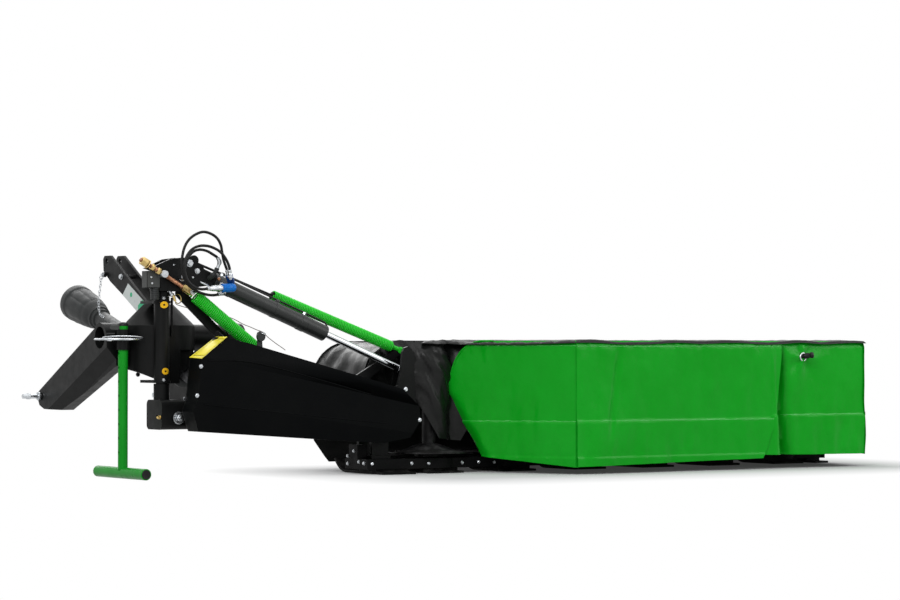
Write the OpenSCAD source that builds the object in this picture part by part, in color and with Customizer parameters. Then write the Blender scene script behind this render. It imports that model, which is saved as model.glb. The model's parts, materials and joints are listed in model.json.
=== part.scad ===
// Rear-mounted disc mower with a belt drive, parked on its stand and its skids.
// Millimetres. Every place below is measured from the hitch: x to the right from the
// tractor's centre plane, y forward from the lower link pins, z up from the floor.
// The machine is shifted as a whole, so that the origin is the middle of its footprint.

/* [Hitch] */
// Distance between the shoulders of the two lower link pins
pin_span = 825; // [815:5:835]
// Height of the lower link pins above the floor when parked
pin_z = 340; // [336:1:344]
// Diameter of a lower link pin
pin_d = 28; // [22:1:30]
// Free length of a lower link pin outside its shoulder
pin_len = 118; // [105:1:125]
// Width of one hitch arm
arm_w = 90; // [80:1:94]
// Distance from the centre plane out to the right arm's inner face
right_in = 186; // [180:1:200]
// Height of the top link hole above the lower link pins
mast_h = 606; // [600:1:612]
// Diameter of the top link hole
top_hole_d = 25.6; // [19:0.1:26]
// Free gap between the two mast plates
mast_gap = 54; // [50:1:58]

/* [Swing post] */
// Distance of the swing post left of the centre plane
post_off = 205; // [203:1:207]
// Distance of the swing post behind the lower link pins
post_back = 780; // [778:1:782]
// Outside diameter of the swing sleeve
sleeve_d = 66; // [64:1:68]

/* [Beam] */
// Height of the pin that the beam rocks on
rock_z = 258; // [256:1:260]
// Distance from the centre plane out to the pin that the cutterbar folds on
fold_x = 820; // [818:1:822]
// Height of the pin that the cutterbar folds on
fold_z = 270; // [268:1:272]
// Distance of the belt guard's rear face behind the lower link pins
guard_back = 1000; // [996:1:1004]

/* [Cutterbar] */
// Distance between neighbouring disc axes
disc_pitch = 390; // [390:1:391]
// Distance from the centre plane out to the first disc's axis
disc_x0 = 1100; // [1099:1:1101]
// Distance of the disc axes behind the lower link pins
bar_back = 840; // [839:1:841]
// Radius of a disc
disc_r = 178; // [174:1:180]
// Radius that the blade tips reach
tip_r = 226; // [222:1:227]

/* [Cover] */
// Height of the cover's flat top
cover_z = 585; // [583:1:588]
// Distance of the cover's front edge behind the lower link pins
cover_front = 250; // [246:1:254]
// Distance of the cover's rear edge behind the lower link pins
cover_rear = 1425; // [1421:1:1429]
// Distance from the centre plane out to the cover's outer edge
cover_out = 3310; // [3308:1:3314]
// Thickness of the curtain sheet
sheet_t = 6; // [4:1:8]

/* [Hidden] */
$fn = 48;

black_paint = "#232528";
black_plastic = "#2d2f33";
green_paint = "#159a3c";
zinc = "silver";
green_sheet = "#1fae35";

// ---- where things are, all from the driving dimensions ----
pin_x0 = pin_span / 2;
arm_out = pin_x0 - 11;
arm_in = arm_out - arm_w;
tube_y = -588;
tube_z = pin_z + 258;
tube_r = 57;
hole_r = 47;
hub_r = 63;
arm_end = -655;
top_y = 78;
top_z = pin_z + mast_h;
mast_t = 12;
mast_x = mast_gap / 2 + mast_t;

post = [-post_off, -post_back];
post_r = 25;
rock = [-166, rock_z];
fold = [fold_x, fold_z];
guard_y = -guard_back;
guard_in = -895;
disc_count = 6;
bar_y = -bar_back;

// Drive shaft, which rises forward from the input joint
input_x = 30;
input_z = 410;
joint_y = -640;
shaft_rise = 16.9;
shaft_len = 1226;

// Lift cylinder, from the clevis on the post head to the fin of the fold frame
lift_y = -800;
clevis = [-67, 880];
rod_eye = [985, 455];

// Long relief spring, from the post head to the horn on the beam's outer end
long_y = -735;
long_top = [-45, 928];
long_end = [1015, 543];

// Short relief spring, from the adjuster rod's eye to the lug on the beam
short_y = -855;
short_top = [-106, 790];
short_end = [310, 477];

// The cover's left end runs on a slant behind the gearbox, its far corner is cut off
cover_in = 925;
notch_y = -695;
slant_a = [1165, -875];
spring_room = [1255, -775];
slant_b = [1500, -cover_rear];
far_a = [3150, -cover_rear];
far_b = [cover_out, -1130];

// The footprint's middle, which becomes the origin
x_lo = -pin_x0 - pin_len;
x_hi = cover_out + sheet_t;
y_lo = -cover_rear - sheet_t;
y_hi = joint_y + shaft_len * cos(shaft_rise) + 84 * sin(shaft_rise);
middle = [(x_lo + x_hi) / 2, (y_lo + y_hi) / 2, 0];

// ---- small tools ----
module place() {
    translate(-middle) children();
}

// An outline in the x-z plane, given depth from y0 to y1
module across(y0, y1) {
    translate([0, y1, 0]) rotate([90, 0, 0]) linear_extrude(y1 - y0) children();
}

// An outline in the y-z plane, given width from x0 to x1
module along(x0, x1) {
    translate([x0, 0, 0]) rotate([90, 0, 90]) linear_extrude(x1 - x0) children();
}

// An outline in the x-y plane, given height from z0 to z1
module upright(z0, z1) {
    translate([0, 0, z0]) linear_extrude(z1 - z0) children();
}

// A round bar from p to q
module rod(p, q, r) {
    d = q - p;
    l = norm(d);
    translate(p) rotate([0, acos(d[2] / l), atan2(d[1], d[0])]) cylinder(h = l, r = r);
}

// A round bar along y through the point [x, z]
module pin_y(at, y0, y1, r, n = $fn) {
    translate([at[0], y1, at[1]]) rotate([90, 0, 0]) cylinder(h = y1 - y0, r = r, $fn = n);
}

// A round bar along x through the point [y, z], between two x values in either order
module pin_x(at, x0, x1, r, n = $fn) {
    translate([min(x0, x1), at[0], at[1]]) rotate([0, 90, 0])
        cylinder(h = abs(x1 - x0), r = r, $fn = n);
}

// A flat link with two round ends and straight flanks, a hair inside the tangents
module link2d(a, ra, b, rb) {
    d = b - a;
    t = atan2(d[1], d[0]);
    k = acos((ra - rb) / norm(d));
    up = [cos(t + k), sin(t + k)];
    down = [cos(t - k), sin(t - k)];
    translate(a) circle(ra);
    translate(b) circle(rb);
    ia = ra - 0.02;
    ib = rb - 0.02;
    polygon([a + ia * up, b + ib * up, b + ib * down, a + ia * down]);
}

// A rectangle with rounded corners
module round_rect(x0, y0, x1, y1, r) {
    translate([x0 + r, y0]) square([x1 - x0 - 2 * r, y1 - y0]);
    translate([x0, y0 + r]) square([x1 - x0, y1 - y0 - 2 * r]);
    for (x = [x0 + r, x1 - r], y = [y0 + r, y1 - r]) translate([x, y]) circle(r);
}

// Points of an arc
function arc(c, r, a0, a1, n) = [for (i = [0:n]) c + r * [cos(a0 + (a1 - a0) * i / n),
    sin(a0 + (a1 - a0) * i / n)]];

// A round tube swept along a list of points, with n sides
function unit(v) = v / norm(v);
function heading(p, i) = unit(p[min(i + 1, len(p) - 1)] - p[max(i - 1, 0)]);
function side_of(t) = unit(cross(t, abs(t[0]) < 0.8 ? [1, 0, 0] : [0, 1, 0]));
function carried(m, t) = unit(m - (m * t) * t);
function normals(p, i = 0, last = undef) =
    let (t = heading(p, i), m = last == undef ? side_of(t) : carried(last, t))
    i == len(p) - 1 ? [m] : concat([m], normals(p, i + 1, m));
module sweep(p, r, n = 8) {
    m = normals(p);
    end = len(p) - 1;
    rings = [for (i = [0:end], k = [0:n - 1])
        p[i] + r * (cos(360 * k / n) * m[i] + sin(360 * k / n) * cross(heading(p, i), m[i]))];
    sides = [for (i = [0:end - 1], k = [0:n - 1])
        [(i + 1) * n + k, (i + 1) * n + (k + 1) % n, i * n + (k + 1) % n, i * n + k]];
    first_cap = [for (k = [0:n - 1]) k];
    last_cap = [for (k = [n - 1:-1:0]) end * n + k];
    polyhedron(rings, concat([first_cap], sides, [last_cap]));
}

// n points for each stretch of a smooth curve through p
function smooth_at(a, b, c, d, t) = 0.5 * (2 * b + (c - a) * t
    + (2 * a - 5 * b + 4 * c - d) * t * t + (3 * b - a - 3 * c + d) * t * t * t);
function smooth(p, n) = concat([for (i = [0:len(p) - 2], k = [0:n - 1])
    smooth_at(p[max(i - 1, 0)], p[i], p[i + 1], p[min(i + 2, len(p) - 1)], k / n)],
    [p[len(p) - 1]]);

// ---- headstock ----
module cross_tube() {
    color(black_paint) place() difference() {
        pin_x([tube_y, tube_z], -arm_in, right_in, tube_r);
        pin_x([tube_y, tube_z], -arm_in - 1, right_in + 1, hole_r);
    }
}

// What the bent lower edge of an arm leaves free, s being +1 on the left arm
module lower_bend(x0, s) {
    reach = 45;
    drop = 47;
    translate([x0, -448, 459]) rotate([-25.5, 0, 0]) rotate([90, 0, 0])
        linear_extrude(1400, center = true)
        polygon([[-s, 1], [s * reach, -drop], [s * reach, -2 * drop], [-s, -2 * drop]]);
}
module hitch_arm(x0, s) {
    difference() {
        along(x0, x0 + arm_w) union() {
            translate([tube_y, tube_z]) circle(hub_r);
            polygon([
                [34, 338], [25, 358], [5, 368], [-560, 648], [-620, 640], [arm_end, 612],
                [arm_end, 478], [-640, 471], [-150, 281], [-37, 284], [10, 300]
            ]);
        }
        pin_x([tube_y, tube_z], x0 - 1, x0 + arm_w + 1, hole_r);
        pin_x([0, pin_z], x0 - 1, x0 + arm_w + 1, pin_d / 2);
        lower_bend(s > 0 ? x0 : x0 + arm_w, s);
    }
}
module left_hitch_arm() {
    color(black_paint) place() hitch_arm(-arm_out, 1);
}
module right_hitch_arm() {
    color(black_paint) place() hitch_arm(right_in, -1);
}

// One lower link pin: through the arm, a collar, the free end, and a nut inside
module link_pin(side, arm) {
    tip = pin_x0 + pin_len;
    difference() {
        union() {
            pin_x([0, pin_z], side * (arm - 30), side * (arm + arm_w), pin_d / 2);
            pin_x([0, pin_z], side * (arm + arm_w), side * pin_x0, 23);
            pin_x([0, pin_z], side * pin_x0, side * (tip - 4), pin_d / 2);
            pin_x([0, pin_z], side * (tip - 4), side * tip, pin_d / 2 - 3);
            pin_x([0, pin_z], side * (arm - 22), side * arm, 23, 6);
        }
        translate([side * (tip - 20), 0, pin_z - 20]) cylinder(h = 40, r = 6);
    }
}
module left_link_pin() {
    color(zinc) place() link_pin(-1, arm_in);
}
module right_link_pin() {
    color(zinc) place() link_pin(1, right_in);
}

module mast_outline() {
    difference() {
        union() {
            polygon([
                [top_y - 36, top_z + 24], [top_y + 22, top_z + 24], [top_y + 36, top_z + 10],
                [top_y + 32, top_z - 44], [top_y - 34, top_z - 92], [tube_y + 20, tube_z - 50],
                [tube_y - 30, tube_z + 20], [tube_y + 10, tube_z + 62], [-318, 752]
            ]);
        }
        translate([top_y, top_z]) circle(top_hole_d / 2);
        translate([tube_y, tube_z]) circle(tube_r);
    }
}
module top_link_mast() {
    color("#303236") place() {
        for (x0 = [-mast_x, mast_gap / 2]) along(x0, x0 + mast_t) mast_outline();
        for (at = [[-70, 872], [-260, 700]]) pin_x(at, -mast_gap / 2, mast_gap / 2, 9);
        // bolt that holds the chain
        pin_x([top_y + 8, top_z - 62], -mast_x - 14, -mast_x, 11, 6);
    }
}

// Sleeve of the swing post, its two lugs and the round saddle that joins it to the cross tube
sleeve_z0 = 405;
sleeve_z1 = 772;
saddle = [-134, -573];
saddle_r = 174;
saddle_top_r = 80;
saddle_z = [400, 650, 742];
module saddle_shell() {
    t = 8;
    intersection() {
        translate([saddle[0], saddle[1], 0]) rotate_extrude() polygon([
            [saddle_r, saddle_z[0]], [saddle_r, saddle_z[1]], [saddle_top_r, saddle_z[2]], [0, saddle_z[2]],
            [0, saddle_z[2] - t], [saddle_top_r - 3, saddle_z[2] - t], [saddle_r - t, saddle_z[1] - 4],
            [saddle_r - t, saddle_z[0]]
        ]);
        across(-760, -612) polygon([
            [-320, 475], [-230, 432], [-165, 402], [-100, 402], [-95, 545], [60, 545], [60, 760],
            [-320, 760]
        ]);
    }
}
module swing_tower() {
    color(black_paint) place() difference() {
        union() {
            translate([post[0], post[1], sleeve_z0])
                cylinder(h = sleeve_z1 - sleeve_z0, d = sleeve_d);
            for (z = [[sleeve_z0, 12], [saddle_z[2], 12]]) upright(z[0], z[0] + z[1]) union() {
                translate(post) circle(sleeve_d / 2 + 5);
                polygon([
                    [post[0] - 36, post[1]], [post[0] + 36, post[1]],
                    [post[0] + 90, -640], [post[0] - 30, -640]
                ]);
            }
            saddle_shell();
        }
        translate([post[0], post[1], sleeve_z0 - 1])
            cylinder(h = sleeve_z1 - sleeve_z0 + 2, r = post_r + 0.05);
        pin_x([tube_y, tube_z], -400, 400, tube_r);
    }
}

collar = [-343, -692];
collar_z = [545, 632];
pin_hole_z = 590;
stand_r = 21;
module stand_collar() {
    color(black_paint) place() difference() {
        upright(collar_z[0], collar_z[1]) union() {
            translate(collar) circle(28);
            translate([collar[0] - 20, collar[1]]) square([40, arm_end - collar[1]]);
        }
        translate([collar[0], collar[1], collar_z[0] - 1])
            cylinder(h = 100, r = stand_r + 0.06);
        pin_x([collar[1], pin_hole_z], collar[0] - 60, collar[0] + 60, 6.2);
    }
}
// Ring pin: a bar through the collar, with a wire ring that lies level behind it
module collar_pin() {
    ring = [-424, -800];
    ring_r = 94;
    color(zinc) place() {
        pin_x([collar[1], pin_hole_z], collar[0] - 62, collar[0] - stand_r - 0.5, 5.8);
        translate([collar[0] - 65, collar[1] - 8, pin_hole_z - 7]) cylinder(h = 14, r = 11);
        translate([ring[0], ring[1], pin_hole_z]) rotate_extrude() translate([ring_r, 0]) circle(4);
    }
}

// ---- drive shaft ----
module on_shaft(t) {
    translate([input_x, joint_y, input_z]) rotate([-90 + shaft_rise, 0, 0])
        translate([0, 0, t]) children();
}
module drive_shaft_guard() {
    color(black_plastic) place() on_shaft(0) rotate_extrude() polygon([
        [30, 96], [58, 96], [60, 104], [44, 190], [44, 560], [38, 566], [38, 946], [46, 948],
        [46, 966], [54, 968], [54, 990], [60, 996], [67, 1022], [67, 1034], [73, 1060], [73, 1072],
        [79, 1120], [79, 1180], [84, 1186], [84, shaft_len], [78, shaft_len], [74, 1188],
        [73, 1128], [62, 1040], [54, 1002], [32, 1000], [30, 990]
    ]);
}
module drive_shaft_joint() {
    color("#3a3c40") place() on_shaft(0) {
        translate([0, 0, -44]) cylinder(h = 38, r = 30);
        cube([64, 26, 60], center = true);
        translate([0, 0, 6]) cylinder(h = 90, r = 26);
    }
}
module drive_yoke() {
    color("#4b4d50") place() on_shaft(0) difference() {
        union() {
            translate([0, 0, 110]) cylinder(h = 920, r = 24);
            translate([0, 0, 1030]) cylinder(h = 70, r = 30);
            translate([0, 0, 1100]) cylinder(h = 96, r = 36);
        }
        translate([0, 0, 1120]) cylinder(h = 80, r = 17.5);
    }
}
// Chain that carries the drive shaft's guard from the mast
chain_route = [
    [-60, 90, 874], [-62, 92, 850], [-64, 100, 800], [-60, 116, 750], [-46, 130, 706],
    [-22, 138, 694]
];
module guard_chain() {
    color("gainsboro") place() sweep(smooth(chain_route, 3), 5, 8);
}

// ---- parking stand ----
foot_r = 24;
foot_y = [-832, -522];
module parking_stand() {
    color(green_paint) place() {
        difference() {
            translate([collar[0], collar[1], foot_r]) cylinder(h = 650 - foot_r, r = stand_r);
            for (z = [110:60:530])
                pin_x([collar[1], z], collar[0] - 40, collar[0] + 40, 6.3);
            pin_x([collar[1], pin_hole_z], collar[0] - 40, collar[0] + 40, 6.3);
        }
        pin_y([collar[0], foot_r], foot_y[0], foot_y[1], foot_r);
    }
}

// ---- swinging part ----
module swing_post() {
    color("#2a2c30") place() {
        translate([post[0], post[1], 334]) cylinder(h = 472, r = post_r);
        translate([post[0], post[1], sleeve_z1 + 1]) cylinder(h = 18, r = 36);
    }
}
block_x = [-240, -62];
block_y = [-850, -710];
block_z = [208, 334];
module rocker_block() {
    color(black_paint) place() difference() {
        union() {
            along(block_x[0], block_x[1])
                round_rect(block_y[0], block_z[0], block_y[1], block_z[1], 22);
            translate([post[0], post[1], block_z[1]]) cylinder(h = 68, r = 34);
        }
        across(block_y[0] + 18, block_y[1] - 18) polygon([
            [-216, 200], [0, 200], [0, 340], [-124, 340], [-124, 317], [-216, 317]
        ]);
        pin_y(rock, -880, -690, 20.3);
        translate([post[0], post[1], block_z[1] - 1]) cylinder(h = 80, r = post_r + 0.05);
        pin_x([-806, 262], block_x[0] - 1, block_x[0] + 12, 9);
    }
}
head_gap = 58;
head_t = 12;
adjuster_at = [-300, 900];
trunnion = [-238, 865];
module head_plate() {
    link2d(clevis, 34, [-104, 900], 36);
    polygon([
        [-286, 891], [-196, 930], [-140, 937], [-104, 936], [-82, 902], [8, 869], [16, 855],
        [10, 828], [-19, 818], [-96, 808], [-120, 796], [-240, 796], [-246, 879]
    ]);
}
// Flat bar under the short spring, slotted for the pin of the beam's lug
limit_y = -806;
limit_top = [-132, 786];
limit_end = [112, 562];
module limit_bar() {
    d = unit(limit_end - limit_top);
    slot_top = limit_end - 84 * d - 5 * [-d[1], d[0]];
    across(limit_y - 5, limit_y + 5) difference() {
        link2d(limit_top, 21, limit_end + 22 * d, 21);
        link2d(slot_top, 12, limit_end + 12 * d, 12.01);
    }
}
module post_head() {
    near = lift_y - head_gap / 2 - head_t;
    far = lift_y + head_gap / 2;
    color(black_paint) place() {
        difference() {
            union() {
                upright(794, 806) round_rect(-246, near, -112, far + head_t + 14, 6);
                for (y0 = [near, far]) across(y0, y0 + head_t) head_plate();
                pin_y(clevis, near, far + head_t, 12.35);
                across(far, far + head_t) link2d(long_top, 22, [-76, 890], 40);
                pin_y(long_top, far + head_t, long_y + 14, 9);
                pin_y(trunnion, near - 34, near, 15);
                translate([-304, near + 3, 807]) cube([62, 48, 71]);
                translate([-258, near + 21, 757]) cylinder(h = 51, r = 18);
            }
            translate([post[0], post[1], 780]) cylinder(h = 26.5, r = post_r + 0.05);
            rod([adjuster_at[0], short_y, adjuster_at[1]], [short_top[0], short_y, short_top[1]], 9.3);
        }
        limit_bar();
    }
}
// Threaded rod with two nuts and a lock nut, and the two plates that hold the short spring
module spring_adjuster() {
    d = unit(short_top - adjuster_at);
    function down(t) = [adjuster_at[0] + t * d[0], short_y, adjuster_at[1] + t * d[1]];
    reach = norm(short_top - adjuster_at);
    nut_r = 13.8;
    plate_at = adjuster_at + (reach - 36) * d;
    color("#a8753c") place() {
        rod(down(0), down(reach - 20), 9);
        for (nut = [[6, 22], [38, 54]]) rod(down(nut[0]), down(nut[1]), nut_r);
        for (s = [-1, 1]) across(short_y + s * 11 - 3, short_y + s * 11 + 3)
            link2d(plate_at, 12, short_top, 14);
        rod(down(reach - 44), down(reach - 20), 14);
        pin_y(short_top, short_y - 18, short_y + 18, 7);
    }
}
// Thin rod of the swing lock, behind the saddle
lock_at = [-144, -756];
module lock_lever() {
    color("#8a8c90") place() {
        translate([lock_at[0], lock_at[1], 604]) cylinder(h = 164, r = 5);
        translate([lock_at[0] - 6, lock_at[1] - 4, 604]) cube([12, 12.6, 10]);
    }
}

// ---- beam ----
beam_y = [-860, -780];
module main_beam() {
    color(black_paint) place() difference() {
        union() {
            across(-826, -734) union() {
                translate(rock) circle(44);
                polygon([[-166, 214], [-30, 206], [-30, 310], [-166, 302]]);
            }
            across(beam_y[0], beam_y[1]) union() {
                polygon([[-40, 206], [720, 215], [720, 316], [-40, 317]]);
                link2d([720, 266], 50, fold, 50);
            }
            // lug of the short spring
            across(short_y - 6, short_y + 6)
                link2d([350, 300], 34, short_end, 12);
            // lug whose pin runs in the slot of the flat bar
            across(limit_y + 8, limit_y + 18) polygon([
                [140, 312], [215, 312], [150, 560], [130, 578], [112, 582], [95, 572], [93, 550],
                [128, 470], [136, 400]
            ]);
            pin_y(limit_end, limit_y - 9, limit_y + 8, 8);
            // horn of the long spring, on a bracket in front of the beam
            across(-800, long_y + 6) polygon([[600, 315], [720, 315], [720, 332], [600, 332]]);
            across(long_y - 6, long_y + 6) link2d([690, 346], 30, long_end, 15);
        }
        pin_y(rock, -900, -700, 20.3);
        pin_y(fold, -900, -700, 18.3);
    }
}
guard_fold_1 = [[-100, 512], [949, 299]];
guard_fold_2 = [[-149, 328], [707, 210]];
guard_lean = 8;
module guard_face() {
    polygon([
        [-129, 508], [-7, 600], [150, 562], [445, 485], [871, 374], [949, 299], [960, 238],
        [905, 160], [773, 139], [455, 160], [-136, 202], [-167, 286], [-149, 328]
    ]);
}
// What stands behind the face that leans forwards above (1) or below (-1) a fold line
module behind_fold(line, side) {
    d = line[1] - line[0];
    translate([line[0][0], guard_y, line[0][1]]) rotate([0, -atan2(d[1], d[0]), 0])
        rotate([-side * guard_lean, 0, 0])
        translate([-400, -80, side > 0 ? 0 : -400]) cube([1900, 80, 400]);
}
module belt_guard() {
    color("#1d1f22") place() difference() {
        across(guard_y, guard_in) guard_face();
        behind_fold(guard_fold_1, 1);
        behind_fold(guard_fold_2, -1);
    }
}
module belt_backplate() {
    color(black_paint) place() difference() {
        across(guard_in, guard_in + 6) guard_face();
        pin_y([input_x, input_z], guard_in - 1, guard_in + 10, 40);
    }
}
module joint_cone() {
    color(black_plastic) place() {
        translate([input_x, guard_in + 6, input_z]) rotate([-90, 0, 0]) rotate_extrude() polygon([
            [0, 0], [84, 0], [84, 6], [76, 8], [92, 118], [87, 118], [70, 6], [0, 6]
        ]);
        pin_y([input_x, input_z], guard_in + 6, -700, 20);
    }
}
module rocker_pin() {
    color(zinc) place() {
        pin_y(rock, block_y[0] - 4, -700, 20);
        pin_y(rock, block_y[0] - 8, block_y[0] - 0.5, 26);
        pin_y(rock, block_y[0] - 20, block_y[0] - 8, 15, 6);
    }
}
module rope_pulley() {
    wheel = [201, 602];
    // height of the guard's upper edge, on its stretch from x 150 to x 445
    function edge(x) = 562 - (x - 150) * 77 / 295;
    color("#1a1a1c") place() {
        across(-908, -902)
            polygon([[186, edge(186)], [214, edge(214)], [211, 602], [191, 602]]);
        pin_y(wheel, -910, -900, 10);
        pin_y(wheel, -920, -910, 20);
    }
}

// ---- cutterbar ----
function disc_x(i) = disc_x0 + disc_pitch * i;
bar_z = [22, 66];
cheek_y = [-882, -866, -774, -756];
module fold_frame() {
    eye_gap = [-822, -778];
    plate = 12;
    color(black_paint) place() {
        // rear cheek with the fin, front cheek, and the two plates beside the cylinder's eye
        across(cheek_y[0], cheek_y[1]) union() {
            cheek();
            polygon([
                [800, 300], [914, 390], [930, 447], [938, 535], [948, 554], [966, 560], [984, 550],
                [1008, 509], [1019, 478], [1034, 440], [1046, 400], [1046, 296], [985, 296]
            ]);
        }
        across(cheek_y[2], cheek_y[3]) cheek();
        for (y0 = [eye_gap[0] - plate, eye_gap[1]]) across(y0, y0 + plate)
            link2d([990, 355], 50, rod_eye, 27);
        across(cheek_y[1], cheek_y[2]) polygon([[960, 300], [1034, 300], [1034, 345], [960, 345]]);
        upright(bar_z[1], bar_z[1] + 14) translate([766, -900]) square([98, 160]);
        pin_y(fold, cheek_y[0] - 2, cheek_y[3] + 10, 18);
    }
}
module cheek() {
    link2d(fold, 50, [985, 320], 30);
    polygon([[771, 280], [780, 66], [862, 66], [869, 260], [820, 300]]);
}
module gearbox() {
    color("#2b2d30") place() {
        difference() {
            union() {
                translate([disc_x(0), bar_y, 290]) cylinder(h = 110, r = 50);
                translate([disc_x(0), bar_y, 400]) cylinder(h = 16, r = 56);
                translate([disc_x(0), bar_y, 278]) cylinder(h = 12, r = 60);
                across(-862, -800) polygon([
                    [1046.3, 292], [1100, 292], [1100, 340], [1076, 378], [1046.3, 424]
                ]);
            }
            translate([disc_x(0), bar_y, 270]) cylinder(h = 40, r = column_r + 0.05);
        }
    }
}
module cutterbar() {
    bar_in = 714;
    color("#1f2124") place() translate([bar_in + 2, -862, bar_z[1]]) cube([50, 72, 62]);
    color("#1f2124") place() difference() {
        upright(bar_z[0], bar_z[1]) union() {
            translate([bar_in, bar_y - 110]) square([3287 - bar_in, 190]);
            for (i = [0:disc_count - 1]) translate([disc_x(i), bar_y]) circle(125);
        }
        for (i = [0:disc_count - 1]) translate([disc_x(i), bar_y, 40])
            cylinder(h = 30, r = hub_pin_r + 0.05);
    }
}
// Side view of a skid: flat sole, front end turned up on an arc
module skid_side(front, rear, t) {
    r = 130;
    translate([-940, t]) square([140, bar_z[0] - t]);
    polygon(concat(
        [[rear, t], [rear, 0]],
        arc([front - 100, r], r, -90, -34, 8),
        arc([front - 100, r], r - t, -34, -90, 8)
    ));
}
module inner_skid() {
    color("#1b1c1e") place() {
        along(764, 930) skid_side(-590, -1005, 10);
        for (i = [0:disc_count - 1]) along(disc_x(i) - 90, disc_x(i) + 90) skid_side(-660, -990, 10);
    }
}
module outer_skid() {
    color("#1b1c1e") place() {
        along(3200, 3280) skid_side(-600, -1005, 10);
        across(-960, -700) polygon([[3287, 22], [3297, 22], [3297, 573], [3287, 573]]);
    }
}
hub_pin_r = 26;
column_r = 30;
module disc(i) {
    translate([disc_x(i), bar_y, 0]) rotate([0, 0, 90 * (i % 2)]) {
        rotate_extrude() polygon([
            [0, 70], [64, 70], [64, 84], [disc_r, 86], [disc_r, 91], [112, 100],
            [72, 118], [40, 128], [0, 128]
        ]);
        translate([0, 0, 46]) cylinder(h = 30, r = hub_pin_r);
        for (turn = [0, 180]) rotate([0, 0, turn]) {
            translate([disc_r - 30, -22, 78]) cube([tip_r - disc_r + 28, 44, 5]);
            translate([disc_r - 16, 0, 76]) cylinder(h = 22, r = 11);
        }
        if (i == 0) translate([0, 0, 126]) cylinder(h = 174, r = column_r);
    }
}
module disc_1() {
    color("#303338") place() disc(0);
}
module disc_2() {
    color("#303338") place() disc(1);
}
module disc_3() {
    color("#303338") place() disc(2);
}
module disc_4() {
    color("#303338") place() disc(3);
}
module disc_5() {
    color("#303338") place() disc(4);
}
module disc_6() {
    color("#303338") place() disc(5);
}

// ---- cover ----
rail_z = [533, 573];
module cover_frame() {
    color(black_paint) place() {
        upright(rail_z[0], rail_z[1]) union() {
            translate([1120, -820]) square([2167, 40]);
            for (x = [1560, 2360, 3080]) translate([x, -cover_rear + 20])
                square([36, cover_rear - cover_front - 40]);
        }
        upright(416, rail_z[0]) translate([1110, -830]) square([50, 50]);
    }
}
module cover_plan() {
    polygon([
        [cover_in, -cover_front], [cover_out, -cover_front], far_b, far_a, slant_b, slant_a,
        spring_room, [spring_room[0], notch_y], [cover_in, notch_y]
    ]);
}
module top_cover() {
    color("#17181a") place() intersection() {
        upright(400, 700) cover_plan();
        across(-cover_rear, -cover_front) polygon([
            [cover_in, 485], [1030, cover_z], [cover_out, cover_z], [cover_out, cover_z - 12],
            [1034, cover_z - 12], [cover_in, 473]
        ]);
    }
}
module front_curtain() {
    color("#1a1b1d") place() across(-cover_front, -cover_front + sheet_t) polygon([
        [cover_in, 485], [1030, cover_z], [cover_out, cover_z], [cover_out, 30],
        [1010, 20], [cover_in, 130]
    ]);
}
// An upright sheet along the plan line from a to b, on its outer side, from its outline
module wall(a, b) {
    d = b - a;
    translate([a[0], a[1], 0]) rotate([0, 0, atan2(d[1], d[0])]) across(-sheet_t, 0) children();
}
module curtain(a, b, hem) {
    wall(a, b) translate([0, hem]) square([norm(b - a), cover_z - hem]);
}
module inner_curtain() {
    l = norm(slant_b - slant_a);
    color(green_sheet) place() wall(slant_a, slant_b) polygon([
        [120, cover_z], [80, 570], [50, 545], [15, 500], [0, 450], [0, 285], [60, 222], [172, 108],
        [184, 44], [l, 32], [l, cover_z]
    ]);
}
module rear_curtain() {
    color(green_sheet) place() curtain(slant_b, far_a, 40);
}
module corner_curtain() {
    color(green_sheet) place() curtain(far_a, far_b, 50);
}
module outer_curtain() {
    color(green_sheet) place() curtain(far_b, [cover_out, -cover_front], 50);
}

// ---- lift cylinder and springs ----
module in_line(from, to, y) {
    d = to - from;
    translate([from[0], y, from[1]]) rotate([0, 90 - atan2(d[1], d[0]), 0]) children();
}
lift_len = norm(rod_eye - clevis);
barrel_end = 701;
barrel_start = 103;
module lift_barrel() {
    color("#202225") place() in_line(clevis, rod_eye, lift_y) difference() {
        union() {
            translate([0, 0, barrel_start]) cylinder(h = barrel_end - barrel_start, r = 35);
            rotate([90, 0, 0]) cylinder(h = 50, r = 27, center = true);
            translate([-25, -25, 0]) cube([50, 50, barrel_start + 1]);
        }
        rotate([90, 0, 0]) cylinder(h = 80, r = 12.4, center = true);
        translate([0, 0, barrel_start + 30]) cylinder(h = barrel_end - barrel_start - 60, r = 28);
        translate([0, 0, barrel_start + 40]) cylinder(h = barrel_end, r = 15.06);
    }
}
module lift_rod() {
    inside = 560;
    color(zinc) place() in_line(clevis, rod_eye, lift_y) difference() {
        union() {
            translate([0, 0, lift_len - inside]) cylinder(h = inside - 22, r = 15);
            translate([0, 0, lift_len - inside]) cylinder(h = 30, r = 27);
            translate([0, 0, lift_len]) rotate([90, 0, 0]) cylinder(h = 36, r = 25, center = true);
        }
        translate([0, 0, lift_len]) rotate([90, 0, 0]) cylinder(h = 80, r = 12.5, center = true);
    }
}
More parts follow.
